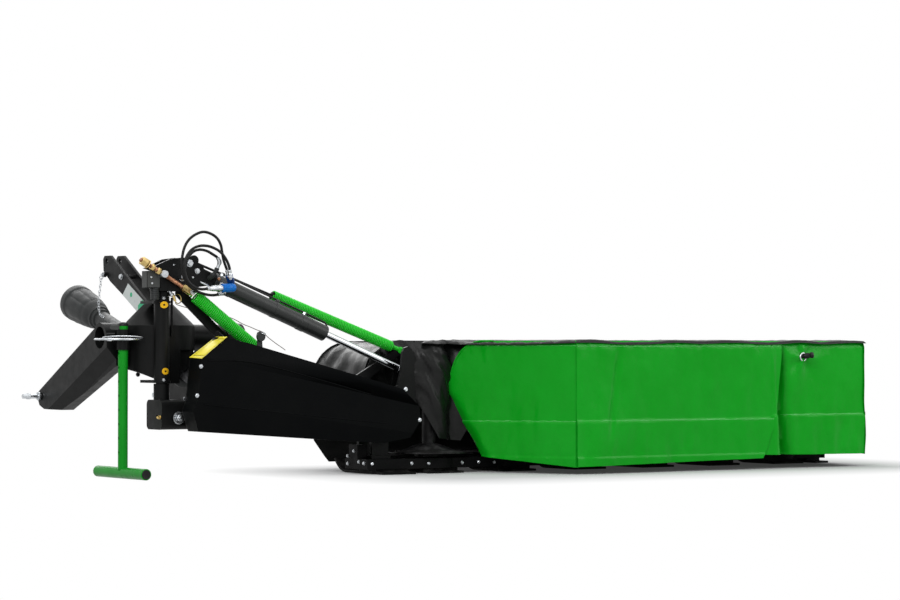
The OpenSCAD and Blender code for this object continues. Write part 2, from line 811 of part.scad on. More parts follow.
// Two plates on either side of a lug, at the distance l along an inner line
module fork(l, lug, width, reach) {
    for (s = [-1, 1]) translate([-width / 2, s * (lug / 2 + 4) - 3, l - reach])
        cube([width, 6, reach + width / 2]);
    translate([-width / 2, -lug / 2 - 7, l - reach - 10]) cube([width, lug + 14, 10]);
}
module eye(r, bore, width) {
    rotate([90, 0, 0]) difference() {
        cylinder(h = width, r = r, center = true);
        cylinder(h = width + 2, r = bore, center = true);
    }
}
module spring_tube(z0, z1, r, wire) {
    difference() {
        translate([0, 0, z0]) cylinder(h = z1 - z0, r = r);
        translate([0, 0, z0 - 1]) cylinder(h = z1 - z0 + 2, r = r - wire);
    }
}
long_len = norm(long_end - long_top);
module long_spring() {
    slot = 66;
    color(green_paint) place() in_line(long_top, long_end, long_y) difference() {
        spring_tube(423, long_len - 2, 25, 8);
        translate([-30, -9, long_len - slot]) cube([60, 18, slot + 1]);
    }
}
module long_spring_rod() {
    color("#8a8c90") place() in_line(long_top, long_end, long_y) {
        translate([0, 0, 12]) cylinder(h = 520, r = 8);
        translate([0, 0, 518]) cylinder(h = 14, r = 15);
        eye(18, 9.06, 16);
    }
}
short_len = norm(short_end - short_top);
module short_spring() {
    color(green_paint) place() in_line(short_top, short_end, short_y) {
        spring_tube(22, short_len - 104, 29, 8);
        translate([0, 0, 14]) cylinder(h = 8, r = 29);
        translate([-5, -6, 10]) cube([10, 12, 8]);
        eye(14, 7.06, 12);
    }
}
module short_spring_rod() {
    color("#8a8c90") place() in_line(short_top, short_end, short_y) {
        translate([0, 0, short_len - 230]) cylinder(h = 190, r = 8);
        translate([0, 0, short_len - 230]) cylinder(h = 10, r = 18);
        fork(short_len, 12, 22, 34);
    }
}

hose_r = 6;
lift_hose_route = [
    [57, -888, 869], [45, -892, 894], [29, -897, 928], [20, -900, 962], [13, -902, 991],
    [-5, -903, 1019], [-34, -904, 1037], [-71, -905, 1045], [-107, -906, 1035],
    [-141, -907, 1012], [-163, -908, 980], [-174, -908, 941], [-177, -907, 899],
    [-168, -905, 857], [-143, -902, 820], [-102, -897, 795], [-55, -890, 781],
    [-7, -880, 778], [39, -866, 786]
];
module lift_hose() {
    color("#101112") place() sweep(smooth(lift_hose_route, 4), hose_r, 8);
}
return_hose_route = [
    [51, -915, 860], [46, -918, 894], [30, -921, 927], [4, -923, 957], [-28, -924, 975],
    [-65, -925, 985], [-103, -925, 984], [-136, -925, 970], [-159, -924, 944],
    [-171, -923, 911], [-170, -922, 874], [-155, -921, 836], [-123, -919, 811],
    [-88, -916, 802], [-53, -913, 805]
];
module return_hose() {
    color("#101112") place() sweep(smooth(return_hose_route, 5), hose_r, 8);
}

cross_tube();
left_hitch_arm();
right_hitch_arm();
left_link_pin();
right_link_pin();
top_link_mast();
swing_tower();
stand_collar();
collar_pin();
drive_shaft_guard();
drive_shaft_joint();
guard_chain();
parking_stand();
drive_yoke();
swing_post();
rocker_block();
post_head();
spring_adjuster();
lock_lever();
lift_hose();
return_hose();
main_beam();
belt_guard();
belt_backplate();
joint_cone();
rocker_pin();
rope_pulley();
fold_frame();
gearbox();
cutterbar();
inner_skid();
outer_skid();
cover_frame();
top_cover();
front_curtain();
inner_curtain();
rear_curtain();
corner_curtain();
outer_curtain();
disc_1();
disc_2();
disc_3();
disc_4();
disc_5();
disc_6();
lift_barrel();
lift_rod();
long_spring();
long_spring_rod();
short_spring();
short_spring_rod();
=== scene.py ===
"""A rear-mounted disc mower, parked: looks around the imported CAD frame.

Places are given in millimetres from the hitch: x to the right of the tractor's centre plane, y forward of
the lower link pins, z up from the floor. at() turns them into metres in the row frame."""

import json
from math import asin, atan2, cos, exp, hypot, pi, radians, sin

import bmesh
import bpy
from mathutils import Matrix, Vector, noise
from mathutils.geometry import tessellate_polygon


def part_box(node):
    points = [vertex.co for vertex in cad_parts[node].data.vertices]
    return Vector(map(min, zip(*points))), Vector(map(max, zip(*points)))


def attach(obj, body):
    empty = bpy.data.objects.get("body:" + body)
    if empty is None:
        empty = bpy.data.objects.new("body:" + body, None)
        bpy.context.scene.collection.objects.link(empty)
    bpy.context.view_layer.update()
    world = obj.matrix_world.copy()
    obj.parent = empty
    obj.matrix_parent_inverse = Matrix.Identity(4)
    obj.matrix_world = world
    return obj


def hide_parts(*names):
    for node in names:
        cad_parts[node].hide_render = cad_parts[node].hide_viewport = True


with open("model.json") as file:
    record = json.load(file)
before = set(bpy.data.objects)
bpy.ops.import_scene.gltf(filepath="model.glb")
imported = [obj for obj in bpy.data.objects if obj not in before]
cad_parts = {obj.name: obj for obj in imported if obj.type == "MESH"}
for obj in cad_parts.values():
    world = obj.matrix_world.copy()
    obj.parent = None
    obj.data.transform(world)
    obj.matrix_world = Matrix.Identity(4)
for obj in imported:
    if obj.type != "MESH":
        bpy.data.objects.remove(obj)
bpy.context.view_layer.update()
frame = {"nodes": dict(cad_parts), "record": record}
record = frame["record"]
scene = bpy.context.scene

# ---- the hitch's place in the row frame, and the joints' pivots ----
left_low, left_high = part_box("left_link_pin")
right_low, right_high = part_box("right_link_pin")
HITCH = Vector(((left_low.x + right_high.x) / 2, (left_low.y + left_high.y) / 2, 0.0))
JOINTS = {joint["name"]: joint for joint in record["behaviour"]["joints"]}


def at(x, y, z):
    """A place in millimetres from the hitch, as metres in the row frame."""
    return HITCH + Vector((x, y, z)) / 1000


def pivot(joint):
    """A joint's pivot in millimetres from the hitch."""
    return Vector([round(1000 * v, 1) for v in Vector(JOINTS[joint]["pos_m"]) - HITCH])


def moved_to(place, y):
    """The same place at another y."""
    return Vector((place.x, y, place.z))


SHAFT, SHAFT_AXIS = pivot("shaft_spin"), Vector(JOINTS["shaft_spin"]["axis"])
POST, ROCKER = pivot("beam_swing"), pivot("beam_rock")
LIFT_TOP, ROD_EYE = pivot("lift_tilt"), Vector((985, -800, 455))
LONG_TOP, LONG_END = pivot("long_tilt"), Vector((1015, -735, 543))
SHORT_TOP, SHORT_END = pivot("short_tilt"), Vector((310, -855, 477))
RIGHT, AHEAD, UP = Vector((1, 0, 0)), Vector((0, 1, 0)), Vector((0, 0, 1))


def aim(name, data, place, towards):
    """Puts a camera or a lamp at a place, looking along a direction."""
    thing = bpy.data.objects.new(name, data)
    thing.location = place
    thing.rotation_mode = "QUATERNION"
    thing.rotation_quaternion = towards.to_track_quat("-Z", "Y")
    scene.collection.objects.link(thing)
    return thing


# ---- camera, as the photograph's: far off, low and almost level ----
CAMERA_AT = at(-5995, -11943, 558)
CAMERA_TO = Vector((0.5446, 0.8387, 0.0159))
camera_data = bpy.data.cameras.new("camera")
camera_data.sensor_width = 36
camera_data.lens = 118
camera_data.clip_end = 100
scene.camera = aim("camera", camera_data, CAMERA_AT, CAMERA_TO)
scene.view_settings.view_transform = "Standard"

# ---- materials ----
MATERIALS = {}


def shader_tree(name):
    """A new material's node tree and Principled shader; MATERIALS keeps it."""
    MATERIALS[name] = bpy.data.materials.new(name)
    MATERIALS[name].use_nodes = True
    tree = MATERIALS[name].node_tree
    return tree, tree.nodes["Principled BSDF"]


def put(tree, value, socket):
    """Links the socket to an output, or sets it."""
    if isinstance(value, bpy.types.NodeSocket):
        tree.links.new(value, socket)
    else:
        socket.default_value = value


def feed(tree, node, **inputs):
    """The node, with its named inputs set or linked."""
    for key, value in inputs.items():
        put(tree, value, node.inputs[key.replace("_", " ")])
    return node


def add(tree, kind, **inputs):
    """A new shader node of that kind, with its inputs."""
    return feed(tree, tree.nodes.new("ShaderNode" + kind), **inputs)


def maths(tree, operation, one, two=None, kind="Math"):
    """The output of a maths node over one or two values."""
    made = add(tree, kind)
    made.operation = operation
    put(tree, one, made.inputs[0])
    if two is not None:
        put(tree, two, made.inputs[1])
    return made.outputs["Value" if operation == "LENGTH" else 0]


def place_of(tree):
    return add(tree, "TexCoord").outputs["Object"]


def cloud(tree, scale, detail=4.0, rough=0.5):
    """Noise over the object's own coordinates, 0 to 1."""
    return add(tree, "TexNoise", Scale=scale, Detail=detail, Roughness=rough,
               Vector=place_of(tree)).outputs["Fac"]


def span(tree, value, low, high, to_low=0.0, to_high=1.0):
    """value's stretch from low to high, as to_low to to_high."""
    return add(tree, "MapRange", Value=value, From_Min=low, From_Max=high, To_Min=to_low,
               To_Max=to_high).outputs["Result"]


def mix(tree, share, one, two):
    """Colour one, going over to two with share."""
    made = add(tree, "Mix")
    made.data_type = "RGBA"
    put(tree, share, made.inputs["Factor"])
    for key, colour in (("A", one), ("B", two)):
        put(tree, (*colour, 1) if isinstance(colour, tuple) else colour, made.inputs[key])
    return made.outputs["Result"]


def bump(tree, shader, height, strength, distance, onto=None):
    """Relief of that height, on top of the normal that onto gives."""
    made = add(tree, "Bump", Strength=strength, Distance=distance, Height=height)
    if onto:
        put(tree, onto, made.inputs["Normal"])
    put(tree, made.outputs["Normal"], shader.inputs["Normal"])
    return made.outputs["Normal"]


def grained(tree, shader, edge, height, strength):
    """Fine relief, with edges that look rounded to that radius."""
    soft = add(tree, "Bevel", Radius=edge)
    soft.samples = 4
    bump(tree, shader, height, strength, 0.0004, soft.outputs["Normal"])


def painted(name, colour, dull, rough, shine, grain=900, relief=0.12, worn=None):
    """Paint: a tone that drifts, dust in patches, a fine orange peel and rounded edges."""
    tree, shader = shader_tree(name)
    base = mix(tree, span(tree, cloud(tree, 6, 6, 0.6), 0.42, 0.72), colour, dull)
    if worn:
        base = mix(tree, span(tree, cloud(tree, 13, 7, 0.65), 0.5, 0.68), base, worn)
    feed(tree, shader, Base_Color=base, Specular_IOR_Level=shine,
         Roughness=span(tree, cloud(tree, 25, 5, 0.6), 0.3, 0.7, rough - 0.06, rough + 0.1))
    grained(tree, shader, 0.0016, cloud(tree, grain, 2), relief)


def metal(name, colour, dull, rough, relief=0.1):
    """Bare or plated metal: a drifting tone, uneven polish and fine scratches."""
    tree, shader = shader_tree(name)
    feed(tree, shader, Metallic=1.0,
         Base_Color=mix(tree, span(tree, cloud(tree, 40, 5, 0.6), 0.4, 0.7), colour, dull),
         Roughness=span(tree, cloud(tree, 90), 0.3, 0.7, rough * 0.8, rough * 1.3))
    grained(tree, shader, 0.0008, cloud(tree, 300, 3), relief)


def coated_fabric(name, colour, dull, rough, shine):
    """Coated cloth: gloss over a fine weave, with dusty patches and soft dents."""
    tree, shader = shader_tree(name)
    feed(tree, shader, Specular_IOR_Level=shine,
         Base_Color=mix(tree, span(tree, cloud(tree, 3.5, 6, 0.62), 0.4, 0.7), colour, dull),
         Roughness=span(tree, cloud(tree, 9, 6, 0.65), 0.3, 0.7, rough - 0.07, rough + 0.1))
    dents = bump(tree, shader, cloud(tree, 14, 4, 0.55), 0.55, 0.004)
    threads = []
    for axis in ("X", "Z"):
        wave = add(tree, "TexWave", Scale=260.0, Distortion=0.4, Vector=place_of(tree))
        wave.bands_direction = axis
        threads.append(wave.outputs["Fac"])
    bump(tree, shader, maths(tree, "ADD", *threads), 0.1, 0.0003, dents)


painted("black_paint", (0.0035, 0.0038, 0.0038), (0.007, 0.0072, 0.007), 0.38, 0.1)
painted("cylinder_paint", (0.014, 0.0155, 0.015), (0.02, 0.022, 0.021), 0.36, 0.3)
painted("green_paint", (0.0025, 0.235, 0.01), (0.005, 0.27, 0.014), 0.32, 0.14)
# the springs' green, lighter than green_paint: painted light against the shade the coils cast on each other
painted("spring_green_brightened", (0.012, 0.46, 0.016), (0.018, 0.52, 0.026), 0.3, 0.2)
painted("guard_plastic", (0.0014, 0.0017, 0.0019), (0.0024, 0.0027, 0.0028), 0.4, 0.035, 1400, 0.1)
painted("casting_paint", (0.002, 0.002, 0.0022), (0.005, 0.005, 0.005), 0.5, 0.07, 500, 0.35)
painted("skid_steel", (0.002, 0.002, 0.0022), (0.005, 0.0048, 0.0045), 0.5, 0.07, 400, 0.3,
        worn=(0.035, 0.034, 0.032))
painted("disc_steel", (0.006, 0.006, 0.0065), (0.014, 0.0135, 0.013), 0.45, 0.14, 600,
        worn=(0.05, 0.05, 0.05))
painted("dark_plastic", (0.019, 0.021, 0.021), (0.03, 0.031, 0.031), 0.5, 0.25, 1500, 0.2)
painted("grey_casting", (0.05, 0.052, 0.05), (0.075, 0.077, 0.074), 0.5, 0.2, 500, 0.4)
painted("hose_rubber", (0.003, 0.003, 0.0032), (0.007, 0.007, 0.007), 0.42, 0.2, 1200)
painted("blue_plastic", (0.002, 0.115, 0.44), (0.004, 0.15, 0.5), 0.34, 0.2, 1100)
painted("dark_blue", (0.003, 0.04, 0.17), (0.006, 0.055, 0.21), 0.4, 0.2, 1100)
painted("yellow_film", (0.88, 0.76, 0.05), (0.78, 0.66, 0.04), 0.36, 0.1)
painted("amber_cap", (0.78, 0.44, 0.012), (0.7, 0.38, 0.01), 0.36, 0.15)
painted("white_film", (0.62, 0.67, 0.65), (0.54, 0.58, 0.56), 0.3, 0.2)
painted("mint_film", (0.02, 0.4, 0.18), (0.03, 0.44, 0.22), 0.3, 0.2)
painted("rope_fibre", (0.12, 0.1, 0.09), (0.2, 0.17, 0.15), 0.8, 0.1, 2500, 0.6)
metal("bright_zinc", (0.56, 0.58, 0.6), (0.36, 0.38, 0.4), 0.28)
metal("yellow_zinc", (0.6, 0.45, 0.19), (0.42, 0.3, 0.1), 0.34)
metal("raw_steel", (0.09, 0.09, 0.095), (0.05, 0.05, 0.052), 0.5, 0.3)
metal("copper_thread", (0.36, 0.19, 0.11), (0.22, 0.1, 0.055), 0.38)
metal("chrome_rod", (0.6, 0.62, 0.64), (0.52, 0.54, 0.56), 0.1, 0.02)
coated_fabric("black_sheet", (0.004, 0.0045, 0.004), (0.009, 0.0092, 0.009), 0.33, 0.17)
coated_fabric("green_sheet", (0.0022, 0.29, 0.0085), (0.005, 0.325, 0.014), 0.16, 0.1)
# welded seams: a glossier green whose lighter colour is a painted highlight
coated_fabric("green_weld_highlight", (0.03, 0.42, 0.05), (0.06, 0.5, 0.08), 0.12, 0.6)


def shade(mesh, angle):
    """Smooth shading up to that angle in degrees."""
    mesh.polygons.foreach_set("use_smooth", [True] * len(mesh.polygons))
    mesh.set_sharp_from_angle(angle=radians(angle))


finish_of = {part["node"]: part["material_slot"] for part in record["subparts"]}
finish_of.update(lift_barrel="cylinder_paint", lock_lever="black_paint")
for name, node in frame["nodes"].items():
    node.data.materials.clear()
    node.data.materials.append(MATERIALS[finish_of[name]])
    shade(node.data, 32)


# ---- shapes in mesh code ----
def angles(count):
    return [2 * pi * k / count for k in range(count)]


def oval(centre, one, two, count):
    """Points round an oval with two given half axes."""
    centre, one, two = map(Vector, (centre, one, two))
    return [centre + cos(a) * one + sin(a) * two for a in angles(count)]


def square_to(axis):
    """Two directions square to an axis."""
    one = axis.cross(UP if abs(axis.z) < 0.9 else RIGHT).normalized()
    return one, axis.cross(one)


def smooth(points, count):
    """A curve through points, count steps for each stretch."""
    line = []
    for i in range(len(points) - 1):
        a, b, c, d = (Vector(points[min(max(k, 0), len(points) - 1)]) for k in range(i - 1, i + 3))
        for k in range(count):
            t = k / count
            line.append(0.5 * (2 * b + (c - a) * t + (2 * a - 5 * b + 4 * c - d) * t * t
                               + (3 * b - a - 3 * c + d) * t * t * t))
    return line + [Vector(points[-1])]


def chamfered(radius, low, high, drop=1.0, edge=1.0):
    """The profile of a round piece with its edges broken."""
    return [(radius - drop, low), (radius, low + edge), (radius, high - edge), (radius - drop, high)]


class Shape:
    """Points in millimetres from the hitch, and the faces between them."""

    def __init__(self):
        self.points, self.faces = [], []

    def loft(self, rings, closed=False):
        """A skin between equal rings: closed joins the last to the first, else both are capped."""
        n, start = len(rings[0]), len(self.points)
        for ring in rings:
            self.points.extend(Vector(p) for p in ring)
        for i in range(len(rings) if closed else len(rings) - 1):
            a, b = start + i * n, start + (i + 1) % len(rings) * n
            for k in range(n):
                j = (k + 1) % n
                self.faces.append((a + k, a + j, b + j, b + k))
        if not closed:
            last = start + (len(rings) - 1) * n
            self.faces.append(tuple(range(start + n - 1, start - 1, -1)))
            self.faces.append(tuple(range(last, last + n)))
        return self

    def tube(self, path, radius, sides=10, closed=False):
        """A round bar along points; radius is a number, or one for each point."""
        path = [Vector(p) for p in path]
        n, side, rings = len(path), None, []
        for i, p in enumerate(path):
            ahead = path[(i + 1) % n] if closed or i < n - 1 else p
            behind = path[i - 1] if closed or i else p
            t = (ahead - behind).normalized()
            side = square_to(t)[0] if side is None else (side - side.dot(t) * t).normalized()
            r = radius[i] if isinstance(radius, list) else radius
            rings.append(oval(p, r * side, r * t.cross(side), sides))
        return self.loft(rings, closed)

    def turned(self, profile, base, axis, sides=32, closed=False, wave=None):
        """A profile of (radius, distance) turned about an axis; wave varies its radius."""
        base, axis = Vector(base), Vector(axis).normalized()
        one, two = square_to(axis)
        rings = [[base + t * axis + (wave(r, t, a) if wave else r) * (cos(a) * one + sin(a) * two)
                  for a in angles(sides)] for r, t in profile]
        return self.loft(rings, closed)

    def slab(self, outline, lift):
        """A flat outline given thickness along lift."""
        return self.loft([outline, [Vector(p) + lift for p in outline]])

    def bolt(self, base, axis, flats, washer=True, nut=False):
        """A hexagon head, mostly on a washer; a nut shows its bolt's end."""
        s, t = flats / 2, 0.0
        if washer:
            t = 0.22 * s
            rim = [(1.3 * s, 0), (1.36 * s, 0.05 * s), (1.36 * s, 0.18 * s), (1.3 * s, t)]
            self.turned(rim, base, axis, 20)
        self.turned([(1.155 * s, t), (1.155 * s, t + 0.62 * s), (s, t + 0.78 * s)], base, axis, 6)
        if nut:
            self.turned([(0.58 * s, t), (0.58 * s, t + 1.1 * s), (0.5 * s, t + 1.2 * s)], base, axis, 12)
        return self

    def ring(self, centre, normal, radius, wire, count=28, sides=8):
        """A closed wire ring."""
        one, two = square_to(Vector(normal).normalized())
        return self.tube(oval(centre, radius * one, radius * two, count), wire, sides, True)

    def coil(self, base, axis, start, stop, radius, wire, per_turn, sides, gap):
        """A wound spring between two distances along its axis."""
        one, two = square_to(axis)
        count = int((stop - start) / (2 * wire + gap) * per_turn)
        turns = [2 * pi * k / per_turn for k in range(count + 1)]
        return self.tube([base + (start + (stop - start) * k / count) * axis
                          + radius * (cos(a) * one + sin(a) * two) for k, a in enumerate(turns)],
                         wire, sides)


def make(name, shape, body, finish="bright_zinc", replaces=(), angle=35, bevel=0.0):
    """The shape as a piece that rides on a body; bevel is in millimetres."""
    mesh = bpy.data.meshes.new(name)
    mesh.from_pydata([at(*p) for p in shape.points], [], shape.faces)
    bm = bmesh.new()
    bm.from_mesh(mesh)
    bmesh.ops.recalc_face_normals(bm, faces=bm.faces)
    bm.to_mesh(mesh)
    bm.free()
    shade(mesh, angle)
    mesh.materials.append(MATERIALS[finish])
    thing = bpy.data.objects.new(name, mesh)
    scene.collection.objects.link(thing)
    if bevel:
        rounding = thing.modifiers.new("rounding", "BEVEL")
        rounding.width = bevel / 1000
        rounding.segments = 2
        rounding.limit_method = "ANGLE"
        rounding.angle_limit = radians(40)
    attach(thing, body)
    if replaces:
        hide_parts(*replaces)
    return thing


# ---- hoses and the pull rope: their runs are given as points ----
HOSE_R, ROPE_R = 6, 1.6
OUTER_HOSE = [
    (57, -888, 869), (45, -892, 894), (29, -897, 928), (20, -900, 962), (13, -902, 991), (-5, -903, 1019),
    (-34, -904, 1037), (-71, -905, 1045), (-107, -906, 1035), (-141, -907, 1012), (-163, -908, 980),
    (-174, -908, 941), (-177, -907, 899), (-168, -905, 857), (-143, -902, 820), (-102, -897, 795),
    (-55, -890, 781), (-7, -880, 778), (39, -866, 786)]
MIDDLE_HOSE = [
    (51, -915, 860), (46, -918, 894), (30, -921, 927), (4, -923, 957), (-28, -924, 975), (-65, -925, 985),
    (-103, -925, 984), (-136, -925, 970), (-159, -924, 944), (-171, -923, 911), (-170, -922, 874),
    (-155, -921, 836), (-123, -919, 811), (-88, -916, 802), (-53, -913, 805)]
INNER_HOSE = [
    (7, -880, 940), (-15, -886, 950), (-46, -891, 964), (-81, -893, 970), (-110, -893, 963),
    (-133, -892, 942), (-146, -889, 913), (-150, -882, 880), (-148, -866, 856), (-142, -843, 846)]
ROPE = [
    (-160, -819, 748), (-150, -812, 738), (-112, -806, 728), (-72, -803, 720), (17, -800, 703),
    (112, -803, 684), (160, -832, 656), (176, -868, 643), (188, -902, 631), (208, -914, 622),
    (232, -920, 600), (262, -926, 577), (296, -930, 555), (312, -931, 544)]


def cord_piece(name, route, radius, finish, replaces=(), steps=5):
    """A hose or rope on the swinging arm."""
    line = smooth(route, steps)
    thing = make(name, Shape().tube(line, radius, 12), "swing_arm", finish, replaces, 60)


def way_out(route, end):
    """The direction in which a hose's end points; end is 0 or -1."""
    return (Vector(route[end]) - Vector(route[1 if end == 0 else -2])).normalized()


crimped = [(6.8, -26), (8.5, -24), (8.5, -14), (7.3, -12), (8.5, -10), (8.5, -2), (6.8, 0)]
ends = Shape()
for route, end in ((OUTER_HOSE, -1), (MIDDLE_HOSE, 0), (INNER_HOSE, -1)):
    for profile, sides in ((crimped, 18), (chamfered(11.05, 0, 10, 1.275), 6), ([(6.4, 9), (6.4, 16)], 14)):
        ends.turned(profile, route[end], way_out(route, end), sides)
make("hose_ends", ends, "swing_arm")
for name, route, replaces in (("outer_hose", OUTER_HOSE, ["lift_hose"]),
                              ("middle_hose", MIDDLE_HOSE, ["return_hose"]), ("inner_hose", INNER_HOSE, ())):
    cord_piece(name, route, HOSE_R, "hose_rubber", replaces)
cord_piece("pull_rope", ROPE, ROPE_R, "rope_fibre", steps=6)

# quick couplers with their dust caps, and the elbow at the cylinder
COUPLER, COUPLER_AXIS = MIDDLE_HOSE[-1], (1, 0.075, 0.04)
make("coupler", Shape().turned(
    [(8, -6), (9, -4), (9, 10), (11, 12), (11, 20), (12.5, 22), (12.5, 50), (14, 52), (14, 60), (12, 62),
     (12, 74)], COUPLER, COUPLER_AXIS, 24), "swing_arm")


def ribbed(r, t, a):
    """A grip with small ribs round it."""
    return r + (0.7 if 80 < t < 112 and cos(16 * a) > 0 else 0)


make("dust_cap_1", Shape().turned(
    [(15, 70), (18.5, 72), (18.5, 79), (17.5, 80), (17.8, 81), (18.2, 111), (17.8, 113), (18.8, 115),
     (18.6, 124), (16, 131), (10, 136), (3, 137)], COUPLER, COUPLER_AXIS, 64, wave=ribbed),
     "swing_arm", "blue_plastic")
cap_axis = way_out(OUTER_HOSE, 0)
make("coupler_2", Shape().turned(
    [(8, -20), (9, -18), (9, -4), (12, -2), (12, 10)], OUTER_HOSE[0], cap_axis, 24), "swing_arm")
make("dust_cap_2", Shape().turned(
    [(13, 4), (16.5, 6), (16.5, 12), (15.5, 13), (16, 40), (14, 45), (8, 49), (3, 50)], OUTER_HOSE[0],
    cap_axis, 40), "swing_arm", "dark_blue")
strap = smooth([(66, -896, 850), (74, -905, 838), (70, -912, 826), (60, -910, 818)], 5)
make("cap_strap", Shape().tube(strap, 2, 8), "swing_arm", "dark_blue")
ball = [(2, -8), (6, -6), (8, -2), (8, 2), (6, 6), (2, 8)]
make("copper_ball", Shape().turned(ball, (16, -880, 846), (1, 0, -0.3), 20), "swing_arm", "copper_thread")
elbow = smooth([(7, -880, 940), (15, -879, 931), (20, -878, 920), (17, -875, 906), (12, -872, 892)], 4)
make("elbow", Shape().tube(elbow, [8.5] * 5 + [9.5] * 6 + [7.5] * 6, 18), "swing_arm")
swivel = smooth([(12, -872, 894), (8, -869, 882), (1, -862, 868), (-6, -850, 856), (-10, -838, 850)], 4)
make("elbow_nut", Shape().tube(swivel, [10] * 6 + [8] * 2 + [11] * 9, 18), "swing_arm", "dark_plastic")

# ---- headstock ----
# drive shaft guard: a long tube, a corrugated neck and a ribbed bell, then back along the inside
BELL_START, BELL_END = 1010, 1184
GUARD = [
    (30, 96), (57, 96), (59, 98), (60, 104), (57, 112), (59, 116), (53, 126), (55, 130), (49, 142), (51, 146),
    (45, 162), (44, 190), (43.5, 380), (44, 382), (44, 560), (38, 566), (38, 945), (45, 946.5), (46, 949),
    (46, 964), (47, 966), (53, 967), (54, 970), (54, 988), (56, 991), (60, 997), (64, BELL_START), (67, 1022),
    (67, 1034), (70, 1042), (73, 1060), (74, 1075), (77, 1100), (79.5, 1120), (80, 1150), (80, 1176),
    (80.5, BELL_END), (83, 1187), (83.5, 1192), (83.5, 1222), (82.5, 1225.5), (80, 1226), (78.5, 1224),
    (77, 1190), (74, 1180), (73, 1128), (62, 1040), (54, 1002), (33, 1000), (31, 998)]


def lobed(r, t, a):
    """Ribs along the bell, which die out towards the neck and the rim."""
    if r < 60 or not BELL_START < t < BELL_END:
        return r
    rise = min(1, (t - BELL_START) / 60, (BELL_END + 2 - t) / 14)
    return r - 3.6 * rise * (1 - abs(sin(5 * a)) ** 0.7)


make("bell_guard", Shape().turned(GUARD, SHAFT, SHAFT_AXIS, 120, True, lobed), "headstock", "dark_plastic",
     ["drive_shaft_guard"], 50)

# lower link pins: the bar, a collar at the arm and the hexagon at its inner end
PIN_Z = 340
for node, side, inner in (("left_link_pin", -1, left_high.x), ("right_link_pin", 1, right_low.x)):
    start = abs(inner - HITCH.x) * 1000
    pin = Shape()
    for profile, sides in (([(11, start), (11, 452), (10, 453)], 32), (chamfered(19, 404, 416, 1.5, 2), 32),
                           ([(13, 452), (15, 454), (15, 466), (12, 468), (12, 486), (10, 488)], 6)):
        pin.turned(profile, (0, 0, PIN_Z), side * RIGHT, sides)
    make(node + "_turned", pin, "headstock", replaces=[node])

# chain from the mast to the guard: links stood alternately
LINK_PITCH = 11.5
chain_line = smooth([(-60, 90, 874), (-62, 92, 850), (-64, 100, 800), (-60, 116, 750), (-46, 130, 706),
                     (-22, 138, 694)], 12)
links, gone, side_on = Shape(), 0.0, True
for a, b in zip(chain_line, chain_line[1:]):
    gone += (b - a).length
    if gone >= LINK_PITCH:
        gone, side_on = 0.0, not side_on
        t = (b - a).normalized()
        links.tube(oval(b, 9 * t, 5 * square_to(t)[0 if side_on else 1], 14), 1.5, 6, True)
make("guard_chain_links", links, "headstock", replaces=["guard_chain"], angle=60)

bits = Shape().bolt((-53.2, 86, 884), -RIGHT, 17)
bits.ring((-60, 90, 872), (0, 1, 0.2), 8, 1.8)
for y, z in ((-70, 872), (-260, 700)):
    for side in (-1, 1):
        bits.bolt((side * 39, y, z), side * RIGHT, 19, nut=side > 0)
for x, z in ((-297, 452), (-232, 440), (-172, 440)):
    bits.bolt((x, -614, z), AHEAD, 15)
make("headstock_bolts", bits, "headstock")

web = [(-62, -602, 578), (42, -602, 578), (42, -602, 484), (-6, -602, 446), (-62, -602, 470)]
make("tower_web", Shape().slab(web, 6 * AHEAD), "headstock", "black_paint", bevel=1)

# blank plate on the mast's left cheek, with its corner and spot
MAST_FACE, PLATE = -39.3, 0.6
spot = [p.yz for p in oval((0, -168, 790), 11 * AHEAD, 11 * UP, 20)]
for name, finish, x, thick, outline in (
        ("mast_plate", "white_film", MAST_FACE, PLATE, ((-137, 841), (-322, 743), (-235, 709), (-83, 791))),
        ("mast_plate_corner", "mint_film", MAST_FACE - PLATE, 0.4,
         ((-278, 766), (-322, 743), (-235, 709), (-235, 742))),
        ("mast_plate_spot", "mint_film", MAST_FACE - PLATE, 0.4, spot)):
    make(name, Shape().slab([(x, y, z) for y, z in outline], -thick * RIGHT), "headstock", finish)

# swing sleeve: round yellow marks with their dots, and grease nipples
SLEEVE_R = 33.3
FACING = atan2(CAMERA_AT.y - at(*POST).y, CAMERA_AT.x - at(*POST).x)


def on_sleeve(across, z, lift=0.0):
    """A point on the sleeve's skin; across counts to the right as one faces it."""
    a = FACING + asin(across / SLEEVE_R)
    return (POST.x + (SLEEVE_R + lift) * cos(a), POST.y + (SLEEVE_R + lift) * sin(a), z)


def mark(shape, across, z, radius, lift, thick):
    """A round sticker that follows the sleeve."""
    shape.loft([[on_sleeve(across + part * radius * cos(a), z + part * radius * sin(a), lift + height)
                 for a in angles(32)]
                for part, height in ((0.25, thick), (0.5, thick), (0.75, thick), (1, thick), (1, 0))])


marks, dots = Shape(), Shape()
for across, z, thick in ((9, 736, 5.4), (16, 455, 0.5)):
    mark(marks, across, z, 14.5, 0.1, thick)
    mark(dots, across, z, 4, thick + 0.1, 0.4)
make("sleeve_marks", marks, "headstock", "amber_cap")
make("sleeve_dots", dots, "headstock", "black_paint")


def nipple(shape, base, axis, size):
    """A grease nipple: hexagon, neck and ball."""
    for profile, sides in (((5.5, 0), (5.5, 5)), 6), (((3, 4), (3, 8), (4.2, 10), (4.2, 12), (2.5, 15)), 14):
        shape.turned([(size * r, size * t) for r, t in profile], base, axis, sides)
    return shape


nipples = Shape()
for z in (764, 418):
    nipple(nipples, on_sleeve(9, z), (cos(FACING), sin(FACING), 0), 1.2)
make("sleeve_nipples", nipples, "headstock")

